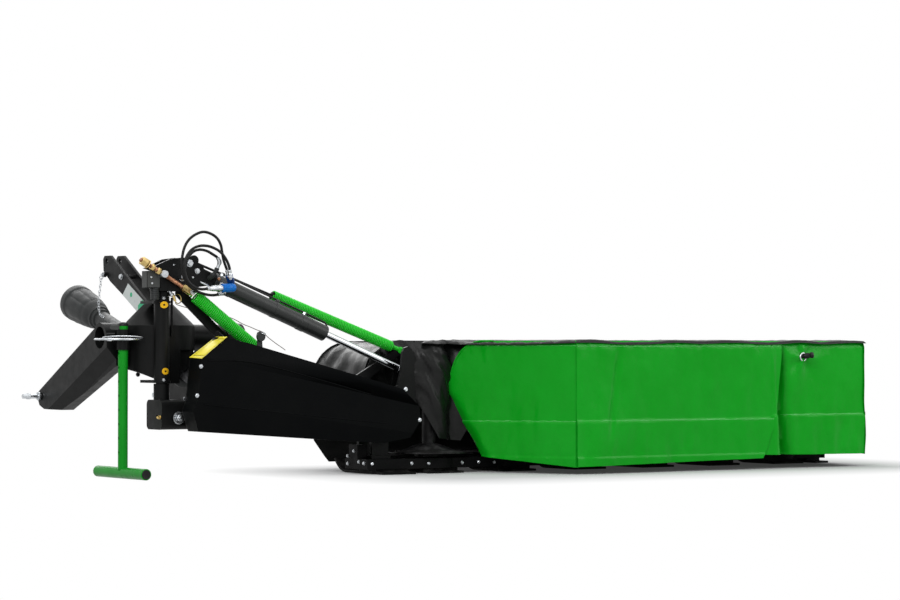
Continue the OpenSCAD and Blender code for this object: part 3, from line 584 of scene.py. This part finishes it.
# ring clip and its pin at the sleeve's top
clip = Shape().ring((-150, -822, 762), (0.35, -1, 0.1), 20, 2.2)
clip.tube([(-178, -826, 784), (-172, -827, 770), (-166, -828, 752)], [6, 6.5, 6], 14)
make("ring_clip", clip, "swing_arm", "yellow_zinc", bevel=0.4)
make("clip_pin", Shape().turned([(7, -16), (7, 6), (9, 8), (9, 14), (6, 18)], (-186, -824, 788),
                                (0.5, -0.3, -1), 20), "swing_arm")

# ---- parking stand ----
STAND_X, STAND_Y, LEG_TOP, FOOT_R = -343, -692, 649, 24
make("stand_cap", Shape().turned([(22.5, -2), (22.5, 4), (20, 9), (13, 13), (5, 14.5)],
                                 (STAND_X, STAND_Y, LEG_TOP), UP), "stand", "hose_rubber")
tab = [(-356, -694, 628), (-402, -694, 632), (-406, -694, 640), (-402, -694, 649), (-356, -694, 653)]
make("stand_tab", Shape().slab(tab, -5 * AHEAD), "stand", "grey_casting", bevel=1)
# the foot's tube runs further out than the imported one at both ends
plugs, sleeves = Shape(), Shape()
for y, side, more in ((-832, -1, 77), (-522, 1, 66)):
    out = side * AHEAD
    sleeves.turned([(FOOT_R, -2), (FOOT_R, more - 1), (FOOT_R - 1.5, more), (FOOT_R - 4, more)],
                   (STAND_X, y, FOOT_R), out, 40)
    plugs.turned([(20.5, -6), (20.5, 0.5), (18, 2.2), (15, 1.2), (3, 0.8)],
                 (STAND_X, y + side * more, FOOT_R), out)
make("foot_ends", sleeves, "stand", "green_paint")
make("foot_plugs", plugs, "stand", "hose_rubber")
loop = oval((STAND_X, STAND_Y, 597), (86 * CAMERA_TO.y, -86 * CAMERA_TO.x, 0),
            (30 * CAMERA_TO.x, 30 * CAMERA_TO.y, -7), 48)
make("pin_loop", Shape().tube(loop, 2.4, 10, True), "headstock", angle=60)
weld = [(STAND_X + 22 * cos(a), STAND_Y + 22 * sin(a), 44.6 - 6 * cos(a) ** 2) for a in angles(36)]
make("foot_weld", Shape().tube(weld, 2.6, 8, True), "stand", "green_paint")

# ---- swinging part: the short spring's adjuster, its block, the head ----
ADJUSTER, HEAD_FACE = Vector((-300, -855, 900)), -841
SCREW = (SHORT_TOP - ADJUSTER).normalized()
THREAD_START, THREAD_PITCH, THREAD_TURNS = -52, 2.2, 106
thread = [(THREAD_START + k * THREAD_PITCH + step, r) for k in range(THREAD_TURNS)
          for step, r in ((0, 8.2), (THREAD_PITCH / 2, 9.3))]
make("adjuster_thread", Shape().tube([ADJUSTER + t * SCREW for t, r in thread], [r for t, r in thread], 20),
     "swing_arm", "copper_thread", ["spring_adjuster"], 60)
nuts = Shape()
for low, high, r in ((-46, -16, 19), (6, 22, 15), (38, 54, 15)):
    nuts.turned(chamfered(r, low, high, 0.1 * r, 2), ADJUSTER, SCREW, 6)
nuts.turned(chamfered(20, -14, -9), ADJUSTER, SCREW, 28)
make("adjuster_nuts", nuts, "swing_arm", "yellow_zinc", bevel=0.5)
trunnion = Shape()
for profile in ([(14.6, -35.5), (15.6, -34), (15.6, -2)], [(15, 0), (16, 1), (16, 34), (15, 35.5)]):
    trunnion.turned(profile, (-238, HEAD_FACE, 865), -AHEAD)
make("trunnion", trunnion, "swing_arm")
eyes = Shape()
for y in (-869, -847):
    outline = []
    for middle, r, start in ((ADJUSTER + 187 * SCREW, 12, 60), (SHORT_TOP, 14, 240)):
        turns = [radians(start + 9 * k) for k in range(21)]
        outline += [(middle.x + r * cos(a), y, middle.z + r * sin(a)) for a in turns]
    eyes.slab(outline, 6 * AHEAD)
eyes.turned([(14, 179), (14, 203)], ADJUSTER, SCREW, 28)
make("adjuster_eye", eyes, "swing_arm", "yellow_zinc", bevel=0.6)
pins = Shape().turned([(7, -19), (7, 19)], SHORT_TOP, AHEAD, 20)
pins.turned(chamfered(12, -22, -18), SHORT_TOP, AHEAD, 24)
pins.bolt(moved_to(SHORT_TOP, -876), -AHEAD, 13, washer=False)
make("spring_pin", pins, "swing_arm")

BLOCK_FACE = -838.6
block = [(x, BLOCK_FACE, z) for x, z in ((-304.6, 806.4), (-241.4, 806.4), (-241.4, 878.6), (-304.6, 878.6))]
make("adjuster_block", Shape().slab(block, 49.2 * AHEAD), "swing_arm", "grey_casting", bevel=4)
rubber = [(18.4, 757)] + [(19.5 if k % 2 else 17.8, 759 + 4 * k) for k in range(12)] + [(18.4, 806)]
make("rubber_stop", Shape().turned(rubber, (-258, -820, 0), UP, 40), "swing_arm", "dark_plastic")
heads = Shape()
for x, z in ((-285, 852), (-281, 826)):
    heads.turned([(4.5, 0), (4.5, 2.5), (3, 4)], (x, BLOCK_FACE, z), -AHEAD, 16)
heads.turned([(5, 0), (5, 2), (3, 3.5)], (-88, HEAD_FACE, 853), -AHEAD, 16)
heads.turned([(3.5, 0), (3.5, 1.5)], (-180, HEAD_FACE, 905), -AHEAD, 12)
heads.bolt((-104, HEAD_FACE, 913), -AHEAD, 24)
heads.bolt(moved_to(LIFT_TOP, HEAD_FACE), -AHEAD, 18)
heads.turned([(14, 0), (14, 3), (12, 4)], moved_to(LONG_TOP, -721), AHEAD, 24)
make("head_bolts", heads, "swing_arm")
stripe = [(-55, -842, 838), (-14, -842, 822), (-10, -842, 814), (-52, -842, 829)]
make("head_clip", Shape().slab(stripe, -3 * AHEAD), "swing_arm", bevel=0.8)

nut = Shape().bolt(moved_to(ROCKER, -870), -AHEAD, 25, washer=False, nut=True)
nut.turned([(17, 0), (25, 1), (26.4, 3), (26.4, 7), (25, 9)], moved_to(ROCKER, -857.6), -AHEAD, 40)
make("rock_nut", nut, "beam", replaces=["rocker_pin"])
rock_bar = [(20, 0), (20, 152), (18, 154)]
make("rock_pin_bar", Shape().turned(rock_bar, moved_to(ROCKER, -854), AHEAD, 40), "beam")
make("block_nipple", nipple(Shape(), (-240, -838, 261), (-1, -0.5, 0), 1.6), "swing_arm", "yellow_zinc")

# ---- lift cylinder: pipe, clamps, bands, gland and ports ----
LIFT = (ROD_EYE - LIFT_TOP).normalized()
OVER = Vector((-LIFT.z, 0, LIFT.x))
pipe = smooth([(x, LIFT_TOP.y, z) for x, z in ((60, 868), (78, 873), (110, 858), (213, 815), (411, 736),
                                               (560, 676), (590, 660), (598, 640))], 6)
make("barrel_pipe", Shape().tube(pipe, 4, 12), "lift_barrel_body", "hose_rubber")
clamps = Shape()
for t in (190, 430):
    centre = LIFT_TOP + t * LIFT
    clamps.turned(chamfered(36.6, -9, 9, 1.4, 0.6), centre, LIFT, 48, True)
    clamps.turned(chamfered(8.5, -9, 9), centre + 40 * OVER, LIFT, 18)
make("pipe_clamps", clamps, "lift_barrel_body", "cylinder_paint")
bands = Shape()
for profile in (chamfered(37, 560, 594, 1.9, 2), [(31, 597), (31, 601), (27, 606), (15.6, 607), (15.6, 597)],
                chamfered(36.4, 101, 120, 1.3, 2)):
    bands.turned(profile, LIFT_TOP, LIFT, 48, True)
make("barrel_bands", bands, "lift_barrel_body", "cylinder_paint", bevel=0.5)
wiper = [(24, 600), (26, 603), (24, 609), (15.3, 610), (15.3, 600)]
make("rod_wiper", Shape().turned(wiper, LIFT_TOP, LIFT, 40, True), "lift_barrel_body", "dark_plastic")
ports = Shape().turned([(11, 20), (11, 40), (9, 42), (9, 50)], LIFT_TOP + 118 * LIFT, (0.25, -1, -0.35), 6)
ports.turned([(10, 28), (10, 44), (7, 46)], LIFT_TOP + 135 * LIFT, OVER, 6)
ports.turned([(10, 28), (10, 42), (7, 44)], LIFT_TOP + 575 * LIFT + 4 * OVER, OVER, 6)
make("barrel_ports", ports, "lift_barrel_body")

# ---- springs: wound coils with plugs, rods and hooks ----
LONG, LONG_LENGTH = (LONG_END - LONG_TOP).normalized(), (LONG_END - LONG_TOP).length
# the coils and plugs take the lightened green, painted light over the coils' own shade
make("long_spring_coil", Shape().coil(LONG_TOP, LONG, 427, LONG_LENGTH - 50, 21, 3.7, 18, 6, 1.1),
     "long_spring_body", "spring_green_brightened", ["long_spring"], 80)
tail = [(10, -58), (16.5, -56), (16.5, -46), (11, -40), (11, -14)]
tip = Shape().turned(tail, LONG_END, LONG).turned(chamfered(15, -9, 9, 2), LONG_END, AHEAD)
make("long_spring_end", tip, "long_spring_body", "spring_green_brightened")
rod = [(5.5, 14), (5.5, 421), (14, 422), (16.5, 424), (16.5, 470), (14, 473)]
make("long_rod", Shape().turned(rod, LONG_TOP, LONG, 28), "long_rod_body", "black_paint", ["long_spring_rod"])
eye = Shape().ring(LONG_TOP, AHEAD, 14.5, 5, 32, 12)
eye.turned(chamfered(10, -8, 8), LONG_TOP + 22 * LONG, LONG, 18)
make("long_rod_eye", eye, "long_rod_body", "black_paint")

SHORT = (SHORT_END - SHORT_TOP).normalized()
SHORT_START, SHORT_R, SHORT_WIRE = 30, 24.6, 4.0
short_coil = Shape().coil(SHORT_TOP, SHORT, SHORT_START, 400, SHORT_R, SHORT_WIRE, 20, 7, 0.9)
one, two = square_to(SHORT)
hook = []
for share in (k / 14 for k in range(15)):
    a = -1.5 * pi * share
    hook.append(SHORT_TOP + (SHORT_START - 17 * share) * SHORT
                + (SHORT_R - 12 * share) * (cos(a) * one + sin(a) * two))
hook += oval(SHORT_TOP, 10.5 * SHORT, 10.5 * Vector((SHORT.z, 0, -SHORT.x)), 20)[1:]
make("short_spring_coil", short_coil.tube(hook, SHORT_WIRE, 8), "short_spring_body", "spring_green_brightened",
     ["short_spring"], 80)
plug = Shape().turned([(9, 396), (18, 398), (18, 412), (14, 416), (9, 417), (9, 420)], SHORT_TOP, SHORT)
make("short_spring_plug", plug, "short_spring_body", "spring_green_brightened")

# ---- swinging beam: warning strip, bolts, ribs and the rope's ring ----
GUARD_FACE, BEAM_BACK = -1000, -889
strip = [(-129, -1000.2, 508), (-7, -1000.2, 600), (-2, -889, 600.6), (-130, -889, 512)]
lift = Vector((-0.36, 0, 0.6))
make("guard_strip", Shape().slab([Vector(p) + 1.4 * lift for p in strip], lift), "beam", "yellow_film")
bolts = Shape()
for x, z in ((952, 237), (-134, 476), (-152, 354)):
    bolts.bolt((x, GUARD_FACE, z), -AHEAD, 13)
for x, z in ((-150, 340), (140, 540), (455, 470), (905, 175)):
    bolts.bolt((x, BEAM_BACK, z), AHEAD, 13)
for y, side in ((-882, -1), (-756, 1)):
    bolts.bolt((953, y, 370), side * AHEAD, 15)
make("beam_bolts", bolts, "beam")
eye_pin = Shape()
for y, side in ((-834, -1), (-766, 1)):
    eye_pin.turned([(15, 0), (17, 1), (17, 5), (14, 7)], moved_to(ROD_EYE, y), side * AHEAD, 28)
    eye_pin.turned([(4, 7), (4, 12), (3, 13)], moved_to(ROD_EYE, y), side * AHEAD, 14)
make("eye_pin_heads", eye_pin, "bar")
spring_bolt = Shape().bolt(moved_to(SHORT_END, -882), -AHEAD, 19, nut=True)
make("spring_bolt", spring_bolt.bolt(moved_to(SHORT_END, -832), AHEAD, 19), "beam")
edge_trim = smooth([(-130, -1001, 507), (-7, -1001, 600.5)], 12)
make("guard_strip_edge", Shape().tube(edge_trim, 1.6, 8), "beam", "guard_plastic")
ribs = Shape()
for line in (((-118, 318), (40, 300), (780, 225)), ((-100, 500), (150, 486), (700, 352))):
    ribs.tube(smooth([(x, GUARD_FACE, z) for x, z in line], 8), 2.2, 8)
make("guard_ribs", ribs, "beam", "guard_plastic", angle=60)
hook = smooth([(196, -906, 588), (188, -906, 602), (190, -908, 617), (201, -909, 623)], 6)
make("guard_hook", Shape().tube(hook, 3.2, 10), "beam", "hose_rubber")
make("rope_ring", Shape().ring((212, -915, 618), (0.2, -0.5, 1), 11, 1.6), "beam")

# ---- mower bar: bolts along its rear, inner end and front ----
BAR_REAR, BAR_FRONT = -950, -760
bolts = Shape()
for x, z in ((738, 47), (942, 45), (1031, 43), (1208, 43), (1296, 44), (1379, 42), (1466, 42)):
    bolts.bolt((x, BAR_REAR, z), -AHEAD, 11)
for z in (54, 36):
    bolts.bolt((1117, BAR_REAR, z), -AHEAD, 9, washer=False)
for x, y, z, flats in ((716, -782, 77, 11), (714, -880, 54, 12), (714, -786, 44, 12), (714, -922, 49, 12),
                       (716, -833, 100, 11)):
    bolts.bolt((x, y, z), -RIGHT, flats)
for x in (742, 1031, 1208, 1379, 1466, *range(1560, 3061, 100)):
    bolts.bolt((x, BAR_FRONT, 44), AHEAD, 19)
make("bar_bolts", bolts, "bar")

# ---- cloth: s runs along the rail that a sheet hangs from, z up ----
THICK, COVER_Z = 1.3, 585
SLANT_A, SLANT_B, FAR_A, FAR_B = (1165, -875), (1500, -1425), (3150, -1425), (3310, -1130)
OUT_X, FRONT_Y, FLAP_X = 3310, -250, 2540
SLANT = (Vector(SLANT_B) - Vector(SLANT_A)).length


def cloth(name, outline, to_place, step, replaces=(), cuts=((), ()), finish="green_sheet"):
    """A sheet cut to an outline and shaped by to_place(u, v)."""
    bm = bmesh.new()
    corners = [bm.verts.new((u, v, 0)) for u, v in outline]
    for three in tessellate_polygon([[v.co for v in corners]]):
        bm.faces.new([corners[k] for k in three])
    for k, normal in enumerate((RIGHT, AHEAD)):
        low = min(p[k] for p in outline)
        size = max(p[k] for p in outline) - low
        count = max(1, round(size / step))
        for p in sorted([low + size * i / count for i in range(1, count)] + list(cuts[k])):
            bmesh.ops.bisect_plane(bm, geom=bm.verts[:] + bm.edges[:] + bm.faces[:], plane_co=p * normal,
                                   plane_no=normal, dist=0.01)
    bmesh.ops.dissolve_degenerate(bm, dist=0.05, edges=bm.edges)
    area = sum(f.calc_area() for f in bm.faces) / 1e6
    sheet, number = Shape(), {}
    for v in bm.verts:
        a, b = v.co.x, v.co.y
        across = to_place(a + 2, b) - to_place(a - 2, b)
        along = to_place(a, b + 2) - to_place(a, b - 2)
        number[v] = len(sheet.points)
        sheet.points += [to_place(a, b), to_place(a, b) - THICK * across.cross(along).normalized()]
    for f in bm.faces:
        rim = [number[v] for v in f.verts]
        sheet.faces += [rim, [k + 1 for k in reversed(rim)]]
    for e in bm.edges:
        if e.is_boundary:
            a, b = (number[v] for v in e.verts)
            sheet.faces.append((a, b, b + 1, a + 1))
    bm.free()
    thing = make(name, sheet, "bar", finish, replaces, 60)


def ease(value, low, high):
    """A smooth step from 0 at low to 1 at high."""
    t = min(max((value - low) / (high - low), 0), 1)
    return t * t * (3 - 2 * t)


def slack(z, depth):
    """How free hanging cloth is: 0 at the rails, 1 that far below them."""
    return ease(600 - z, 0, depth)


def near_line(point, line):
    """Distance in the plane from a point to a line of points."""
    p, best = Vector(point), 1e9
    for a, b in zip(map(Vector, line), map(Vector, line[1:])):
        t = min(max((p - a).dot(b - a) / (b - a).length_squared, 0), 1)
        best = min(best, (p - a - t * (b - a)).length)
    return best


def ruffle(s, z, seed, wave):
    """Soft uneven folds."""
    fine = noise.noise((s / wave * 2.3, z / wave * 0.9, seed + 7))
    return noise.noise((s / wave, z / (wave * 3.2), seed)) + 0.5 * fine


def seam(value, place, wide=9, high=1.6):
    """A welded double strip."""
    return high * (ease(value, place - wide, place - wide + 3) - ease(value, place + wide - 3, place + wide))


def hanging(a, b, depth_of):
    """to_place for cloth hung between two corners of the cover, standing out by depth_of(s, z)."""
    a, b = Vector((*a, 0)), Vector((*b, 0))
    d = (b - a).normalized()

    def to_place(s, z):
        over = max(0, z - COVER_Z + 30) / 30
        return a + s * d + (depth_of(s, z) - 13 * over * over) * d.cross(UP) + z * UP
    return to_place


def inner_depth(s, z):
    """The green panel at the inner end, turned in along its lower edge."""
    turned_in = -30 * max(0, 1 - near_line((s, z), ((14, 312), (64, 232), (124, 146), (168, 66))) / 46) ** 1.2
    loose = slack(z, 450) * ease(s, -40, 260) * ease(SLANT - s, -60, 200)
    creases = 9 * loose * ruffle(s, z, 3.1, 85) + 4 * ruffle(s, z, 8.4, 34) * ease(z, 430, 585)
    belly = -10 * sin(pi * s / SLANT) * slack(z, 300)
    low = 6 * (1 - ease(z, 222, 232)) + 3 * (1 - ease(z, 68, 78))
    return -4 + turned_in + creases + belly + low - 14 * max(0, 1 - (SLANT - s) / 10)


rounded = [(176, 585), (142, 579), (112, 566), (80, 541), (52, 503), (30, 452), (16, 396), (13, 345),
           (20, 304)]
inner_place = hanging(SLANT_A, SLANT_B, inner_depth)
inner_outline = rounded + [(64, 232), (124, 146), (164, 72), (SLANT, 30), (SLANT, 585)]
cloth("inner_curtain_sheet", inner_outline, inner_place, 13, ["inner_curtain"],
      ((SLANT - 11, SLANT - 6, SLANT - 3), (222, 225, 229, 232, 68, 72, 78)))
piping = [inner_place(s, z) for s, z in [(230, 584)] + rounded + [(64, 232)]]
make("inner_piping", Shape().tube(smooth(piping, 4), 4), "bar", "green_sheet", angle=60)


def rear_depth(s, z):
    loose = slack(z, 500)
    sway = 10 * sin(s / 173 + 0.6) * loose + 8 * loose * ruffle(s, z, 1.7, 110)
    creases = 6 * ruffle(s, z, 5.2, 30) * ease(z, 500, 585) + 2.5 * ruffle(s, z, 9.9, 60)
    kink = 9 * exp(-((s - 190 - 0.16 * (z - 300)) / 13) ** 2) * ease(z, 40, 260) * slack(z, 120)
    low = 5 * (1 - ease(z, 228, 238)) + 3 * (1 - ease(z, 68, 78))
    return 1 + sway + creases - kink + low + seam(s, 1098, 11)


rear_outline = [(-6, 33), (240, 37), (620, 44), (1034, 51), (1060, 100), (1075, 150), (1110, 224),
                (1122, 310), (1133, 407), (1145, 498), (1150, 585), (-6, 585)]
rear_place = hanging(SLANT_B, FAR_A, rear_depth)
cloth("rear_curtain_sheet", rear_outline, rear_place, 14, ["rear_curtain"],
      ((*range(150, 241, 10), 1088, 1092, 1104, 1108), (68, 72, 78, 228, 231, 235, 238)))


def flap_depth(s, z):
    """The end flap: a soft fold where it starts, and creases from its toggle."""
    fold = -56 * exp(-((s - 122 + (z - 300) * 0.09) / 27) ** 2) + 20 * exp(-((s - 66) / 26) ** 2)
    dx, dz = s - 236, z - 510
    far = hypot(dx, dz)
    pull = 13 * exp(-far / 80) * cos(4 * atan2(dz, dx) + 0.6) + 8 * exp(-(far / 40) ** 2)
    creases = 10 * slack(z, 450) * ruffle(s, z, 12.3, 90) + 4 * ruffle(s, z, 4.4, 30) * ease(z, 450, 585)
    return -10 + fold * slack(z, 120) + pull + creases + 5 * (1 - ease(z, 240, 250))


flap_place = hanging((FLAP_X, -1425), FAR_A, flap_depth)
cloth("end_flap_sheet", [(0, 66), (300, 62), (610, 60), (610, 585), (0, 585)], flap_place, 13,
      cuts=((), (240, 243, 247, 250)))


def corner_depth(s, z):
    folds = 12 * slack(z, 450) * ruffle(s, z, 20.5, 90)
    return -4 + folds + seam(z, 248) + 2 * ruffle(s, z, 2.4, 30) * ease(z, 450, 585)


corner = (Vector(FAR_B) - Vector(FAR_A)).length
cloth("corner_curtain_sheet", [(0, 58), (corner, 56), (corner, 585), (0, 585)],
      hanging(FAR_A, FAR_B, corner_depth), 14, ["corner_curtain"], ((), (239, 242, 254, 257)))


def outer_depth(s, z):
    waves = 9 * slack(z, 450) * (sin(s / 96) + ruffle(s, z, 31.5, 120))
    return -4 + waves + seam(s, 430) + seam(z, 66, 16, 1.4) + 2 * ruffle(s, z, 6.4, 34) * ease(z, 430, 585)


cloth("outer_curtain_sheet", [(0, 56), (450, 52), (880, 50), (880, 585), (0, 585)],
      hanging(FAR_B, (OUT_X, FRONT_Y), outer_depth), 16, ["outer_curtain"],
      ((420, 424, 436, 440), (48, 51, 81, 84)))


def front_depth(s, z):
    folds = 11 * sin(s / 121 + 0.4) + 6 * sin(s / 47 + 2)
    return -4 + slack(z, 480) * (folds + 9 * ruffle(s, z, 44.5, 120)) + seam(z, 62, 16, 1.4)


# the cover rolls down at its inner end, over a quarter oval
END_FROM, END_TO, END_OUT, END_DROP, END_TURN, END_FLAT = 1040, 850, 190, 165, 1.45, 815


def end_curve(turn):
    """x and z of the rolled end for a turn in radians."""
    return END_FROM - END_OUT * sin(turn), COVER_Z - END_DROP * (1 - cos(turn))


rolled = [end_curve(END_TURN * k / 8) for k in range(9)]
reach = OUT_X - END_TO
front_outline = [(0, 40), (reach - 85, 30), (reach - 6, 130),
                 *((OUT_X - x, z) for x, z in rolled[::-1]), (0, 585)]
cloth("front_curtain_sheet", front_outline, hanging((OUT_X, FRONT_Y), (END_TO, FRONT_Y), front_depth), 20,
      ["front_curtain"], ((), (44, 47, 77, 80)), "black_sheet")

PLAN = [(END_FLAT, -246), (OUT_X + 4, -246), (OUT_X + 4, -1131), (3153, -1430), (1497, -1430), (1168, -893),
        (1100, -916), (1034, -888), (1048, -866), (1075, -850), (1182, -856), (1255, -775), (1255, -695),
        (END_FLAT, -695)]


def top_place(x, y):
    """The top sheet: rolled down at its inner end, slack between rails, turned down at its edges."""
    turn = max(0, END_TURN * (END_FROM - x) / (END_FROM - END_FLAT))
    here, base = end_curve(turn)
    rails = min(abs(x - rail) for rail in (1560, 2360, 3080))
    sag = 9 * ease(rails, 18, 220) * ease(abs(y + 800), 30, 160)
    rise = 9 * exp(-((x - 2050) / 130) ** 2) + 10 * exp(-((x - 2760) / 110) ** 2)
    roll = max(0, 1 - near_line((x, y), PLAN[1:-1]) / 16)
    wrinkles = (1 + 3 * ease(1300 - x, 0, 250)) * (3.2 * noise.noise((x / 90, y / 60, 2.2))
                                                   + 1.8 * noise.noise((x / 34, y / 26, 5.5)))
    height = 4 - sag + rise * ease(-1150 - y, -200, 200) + wrinkles * (1 - roll) - 11 * roll * roll
    return Vector(((here if turn else x) - wrinkles * sin(turn), y, base + height))


cloth("top_cover_sheet", PLAN[::-1], top_place, 24, ["top_cover"],
      ((END_FROM,), (-1427, -1423, -1418, -250, -255)), "black_sheet")


# black gussets close the notch: one before the arm, one over the column behind it
def gusset(name, corners, outline_of, seed, over, tuck):
    """Loose cloth hung along a line in plan; outline_of(length) gives its outline in (s, z).

    over is how far its top leans in, and tuck the length at its end that lies flat."""
    line = smooth([(x, y, 0) for x, y in corners], 8)
    marks = [0.0]
    for a, b in zip(line, line[1:]):
        marks.append(marks[-1] + (b - a).length)

    def to_place(s, z):
        k = max(i for i, g in enumerate(marks[:-1]) if g <= max(s, 0))
        d = (line[k + 1] - line[k]).normalized()
        slant = (s + 0.5 * z) / 46
        folds = 13 * noise.noise((slant, z / 190, seed)) + 7 * noise.noise((slant * 2.2, z / 80, seed + 6))
        drapes = 9 * noise.noise(((s - 0.6 * z) / 120, (z + 0.35 * s) / 24, seed + 9)) * ease(z, 380, 470)
        depth = ease(590 - z, 0, 60) * ease(marks[-1] - s, tuck, tuck + 50) * (folds + drapes + 6)
        depth -= over * (max(0, z - 470) / 116) ** 2
        return line[k] + (s - marks[k]) * d + depth * d.cross(UP) + z * UP

    cloth(name, outline_of(marks[-1]), to_place, 10, finish="black_sheet")


gusset("inner_gusset", ((850, -698), (1000, -696), (1150, -696), (1245, -699), (1256, -735), (1252, -778)),
       lambda length: [(0, 370), (330, 370), (430, 330), (length, 300), (length, 586)]
       + [(x - END_TO, z + 2) for x, z in rolled], 3.3, 0, -60)
gusset("column_gusset", ((1004, -874), (1046, -902), (1100, -922), (1150, -908), (1192, -884), (1262, -958)),
       lambda length: [(0, 330), (60, 240), (110, 152), (length - 60, 140), (length, 240), (length, 586),
                       (0, 586)], 8.8, 40, 80)


def bead(name, place, points, seed):
    """A welded seam: a thin uneven bead that catches the light; its lighter green is a painted highlight."""
    line = [place(s, z + 2.5 * noise.noise((s / 13, seed, 0.5))) for s, z in points]
    sizes = [1.2 + 1.5 * max(0, noise.noise((k * 0.37, seed, 4.2)) + 0.15) for k in range(len(line))]
    make(name, Shape().tube(line, sizes, 8), "bar", "green_weld_highlight", angle=80)


bead("inner_weld", inner_place, [(s, 228 + 4 * s / SLANT) for s in range(70, int(SLANT) - 8, 6)], 1.5)
bead("rear_weld", rear_place, [(s, 234 - 0.004 * s) for s in range(2, 1106, 6)], 2.5)
# lighter beads along the top edges: painted highlights on the crinkled tops of the curtains
bead("rear_top_highlight_bead", rear_place, [(s, 561) for s in range(2, 1140, 5)], 3.5)
bead("inner_top_highlight_bead", inner_place, [(s, 563) for s in range(140, int(SLANT) - 6, 5)], 4.5)
bead("flap_weld", flap_place, [(s, 247) for s in range(140, 604, 6)], 5.5)
make("flap_eyelet", Shape().ring((2776, -1424, 512), -AHEAD, 17, 4, 32, 10), "bar", angle=60)
toggle = [(8, -12), (8, 4), (11, 8), (13, 14), (13, 30), (10, 38), (14, 42), (14, 52), (9, 57)]
make("flap_toggle", Shape().turned(toggle, (2772, -1418, 514), (0.72, -0.6, 0.12), 28), "bar", "hose_rubber")


# ---- studio: white to the camera, softer for the light it gives ----
def seen_share(tree):
    """1 for rays straight from the camera, in a mirror or through glass, else 0."""
    path = add(tree, "LightPath").outputs
    most = maths(tree, "MAXIMUM", path["Is Camera Ray"], path["Is Glossy Ray"])
    return maths(tree, "MAXIMUM", most, path["Is Transmission Ray"])


def blended(tree, share, one, two):
    made = add(tree, "MixShader")
    for socket, value in zip(made.inputs, (share, one, two)):
        tree.links.new(value, socket)
    return made.outputs[0]


scene.world = bpy.data.worlds.new("studio")
scene.world.use_nodes = True
tree = scene.world.node_tree
tree.nodes.clear()
seen = add(tree, "Background", Color=(1, 1, 1, 1), Strength=1.0)
lit = add(tree, "Background", Color=(0.95, 0.97, 1, 1), Strength=0.42)
add(tree, "OutputWorld", Surface=blended(tree, seen_share(tree), lit.outputs[0], seen.outputs[0]))

# the floor: pale where it takes the machine's shadow, white further off, clear from below
SHADE_MIDDLE, SHADE_HALF, SHADE_FADE, FLOOR = at(2010, -1000, 0), (1.17, 0.5, 0), 0.62, 40
mesh = bpy.data.meshes.new("floor")
corners = [(FLOOR * x, FLOOR * y, 0) for x, y in ((-1, -1), (1, -1), (1, 1), (-1, 1))]
mesh.from_pydata(corners, [], [range(4)])
floor = bpy.data.objects.new("floor", mesh)
scene.collection.objects.link(floor)
tree, shader = shader_tree("floor")
feed(tree, shader, Base_Color=(0.5, 0.5, 0.5, 1), Roughness=0.95, Specular_IOR_Level=0.0,
     Emission_Color=(1, 1, 1, 1), Emission_Strength=0.04)
beside = place_of(tree)
for operation, value in (("SUBTRACT", SHADE_MIDDLE), ("ABSOLUTE", None), ("SUBTRACT", SHADE_HALF),
                         ("MAXIMUM", (0, 0, 0)), ("LENGTH", None)):
    beside = maths(tree, operation, beside, value, "VectorMath")
white = add(tree, "Emission", Color=(1, 1, 1, 1), Strength=1.0)
share = maths(tree, "MULTIPLY", span(tree, beside, 0.0, SHADE_FADE), seen_share(tree))
pale = blended(tree, share, shader.outputs[0], white.outputs[0])
underneath = add(tree, "NewGeometry").outputs["Backfacing"]
clear = add(tree, "BsdfTransparent").outputs[0]
feed(tree, tree.nodes["Material Output"], Surface=blended(tree, underneath, pale, clear))
mesh.materials.append(MATERIALS["floor"])

for name, place, towards, size, power in (
        ("key", (-3600, -4900, 4200), (1200, -800, 300), (3.5, 3.5), 275),
        ("fill", (5200, -4500, 2600), (1500, -800, 300), (4, 3), 110),
        ("back", (1500, 4500, 4000), (1200, -600, 300), (5, 3), 160),
        ("top", (1400, -700, 5200), (1400, -700, 0), (6, 4), 120)):
    lamp = bpy.data.lights.new(name, "AREA")
    lamp.shape = "RECTANGLE"
    lamp.size, lamp.size_y = size
    lamp.energy = power
    aim(name, lamp, at(*place), at(*towards) - at(*place))
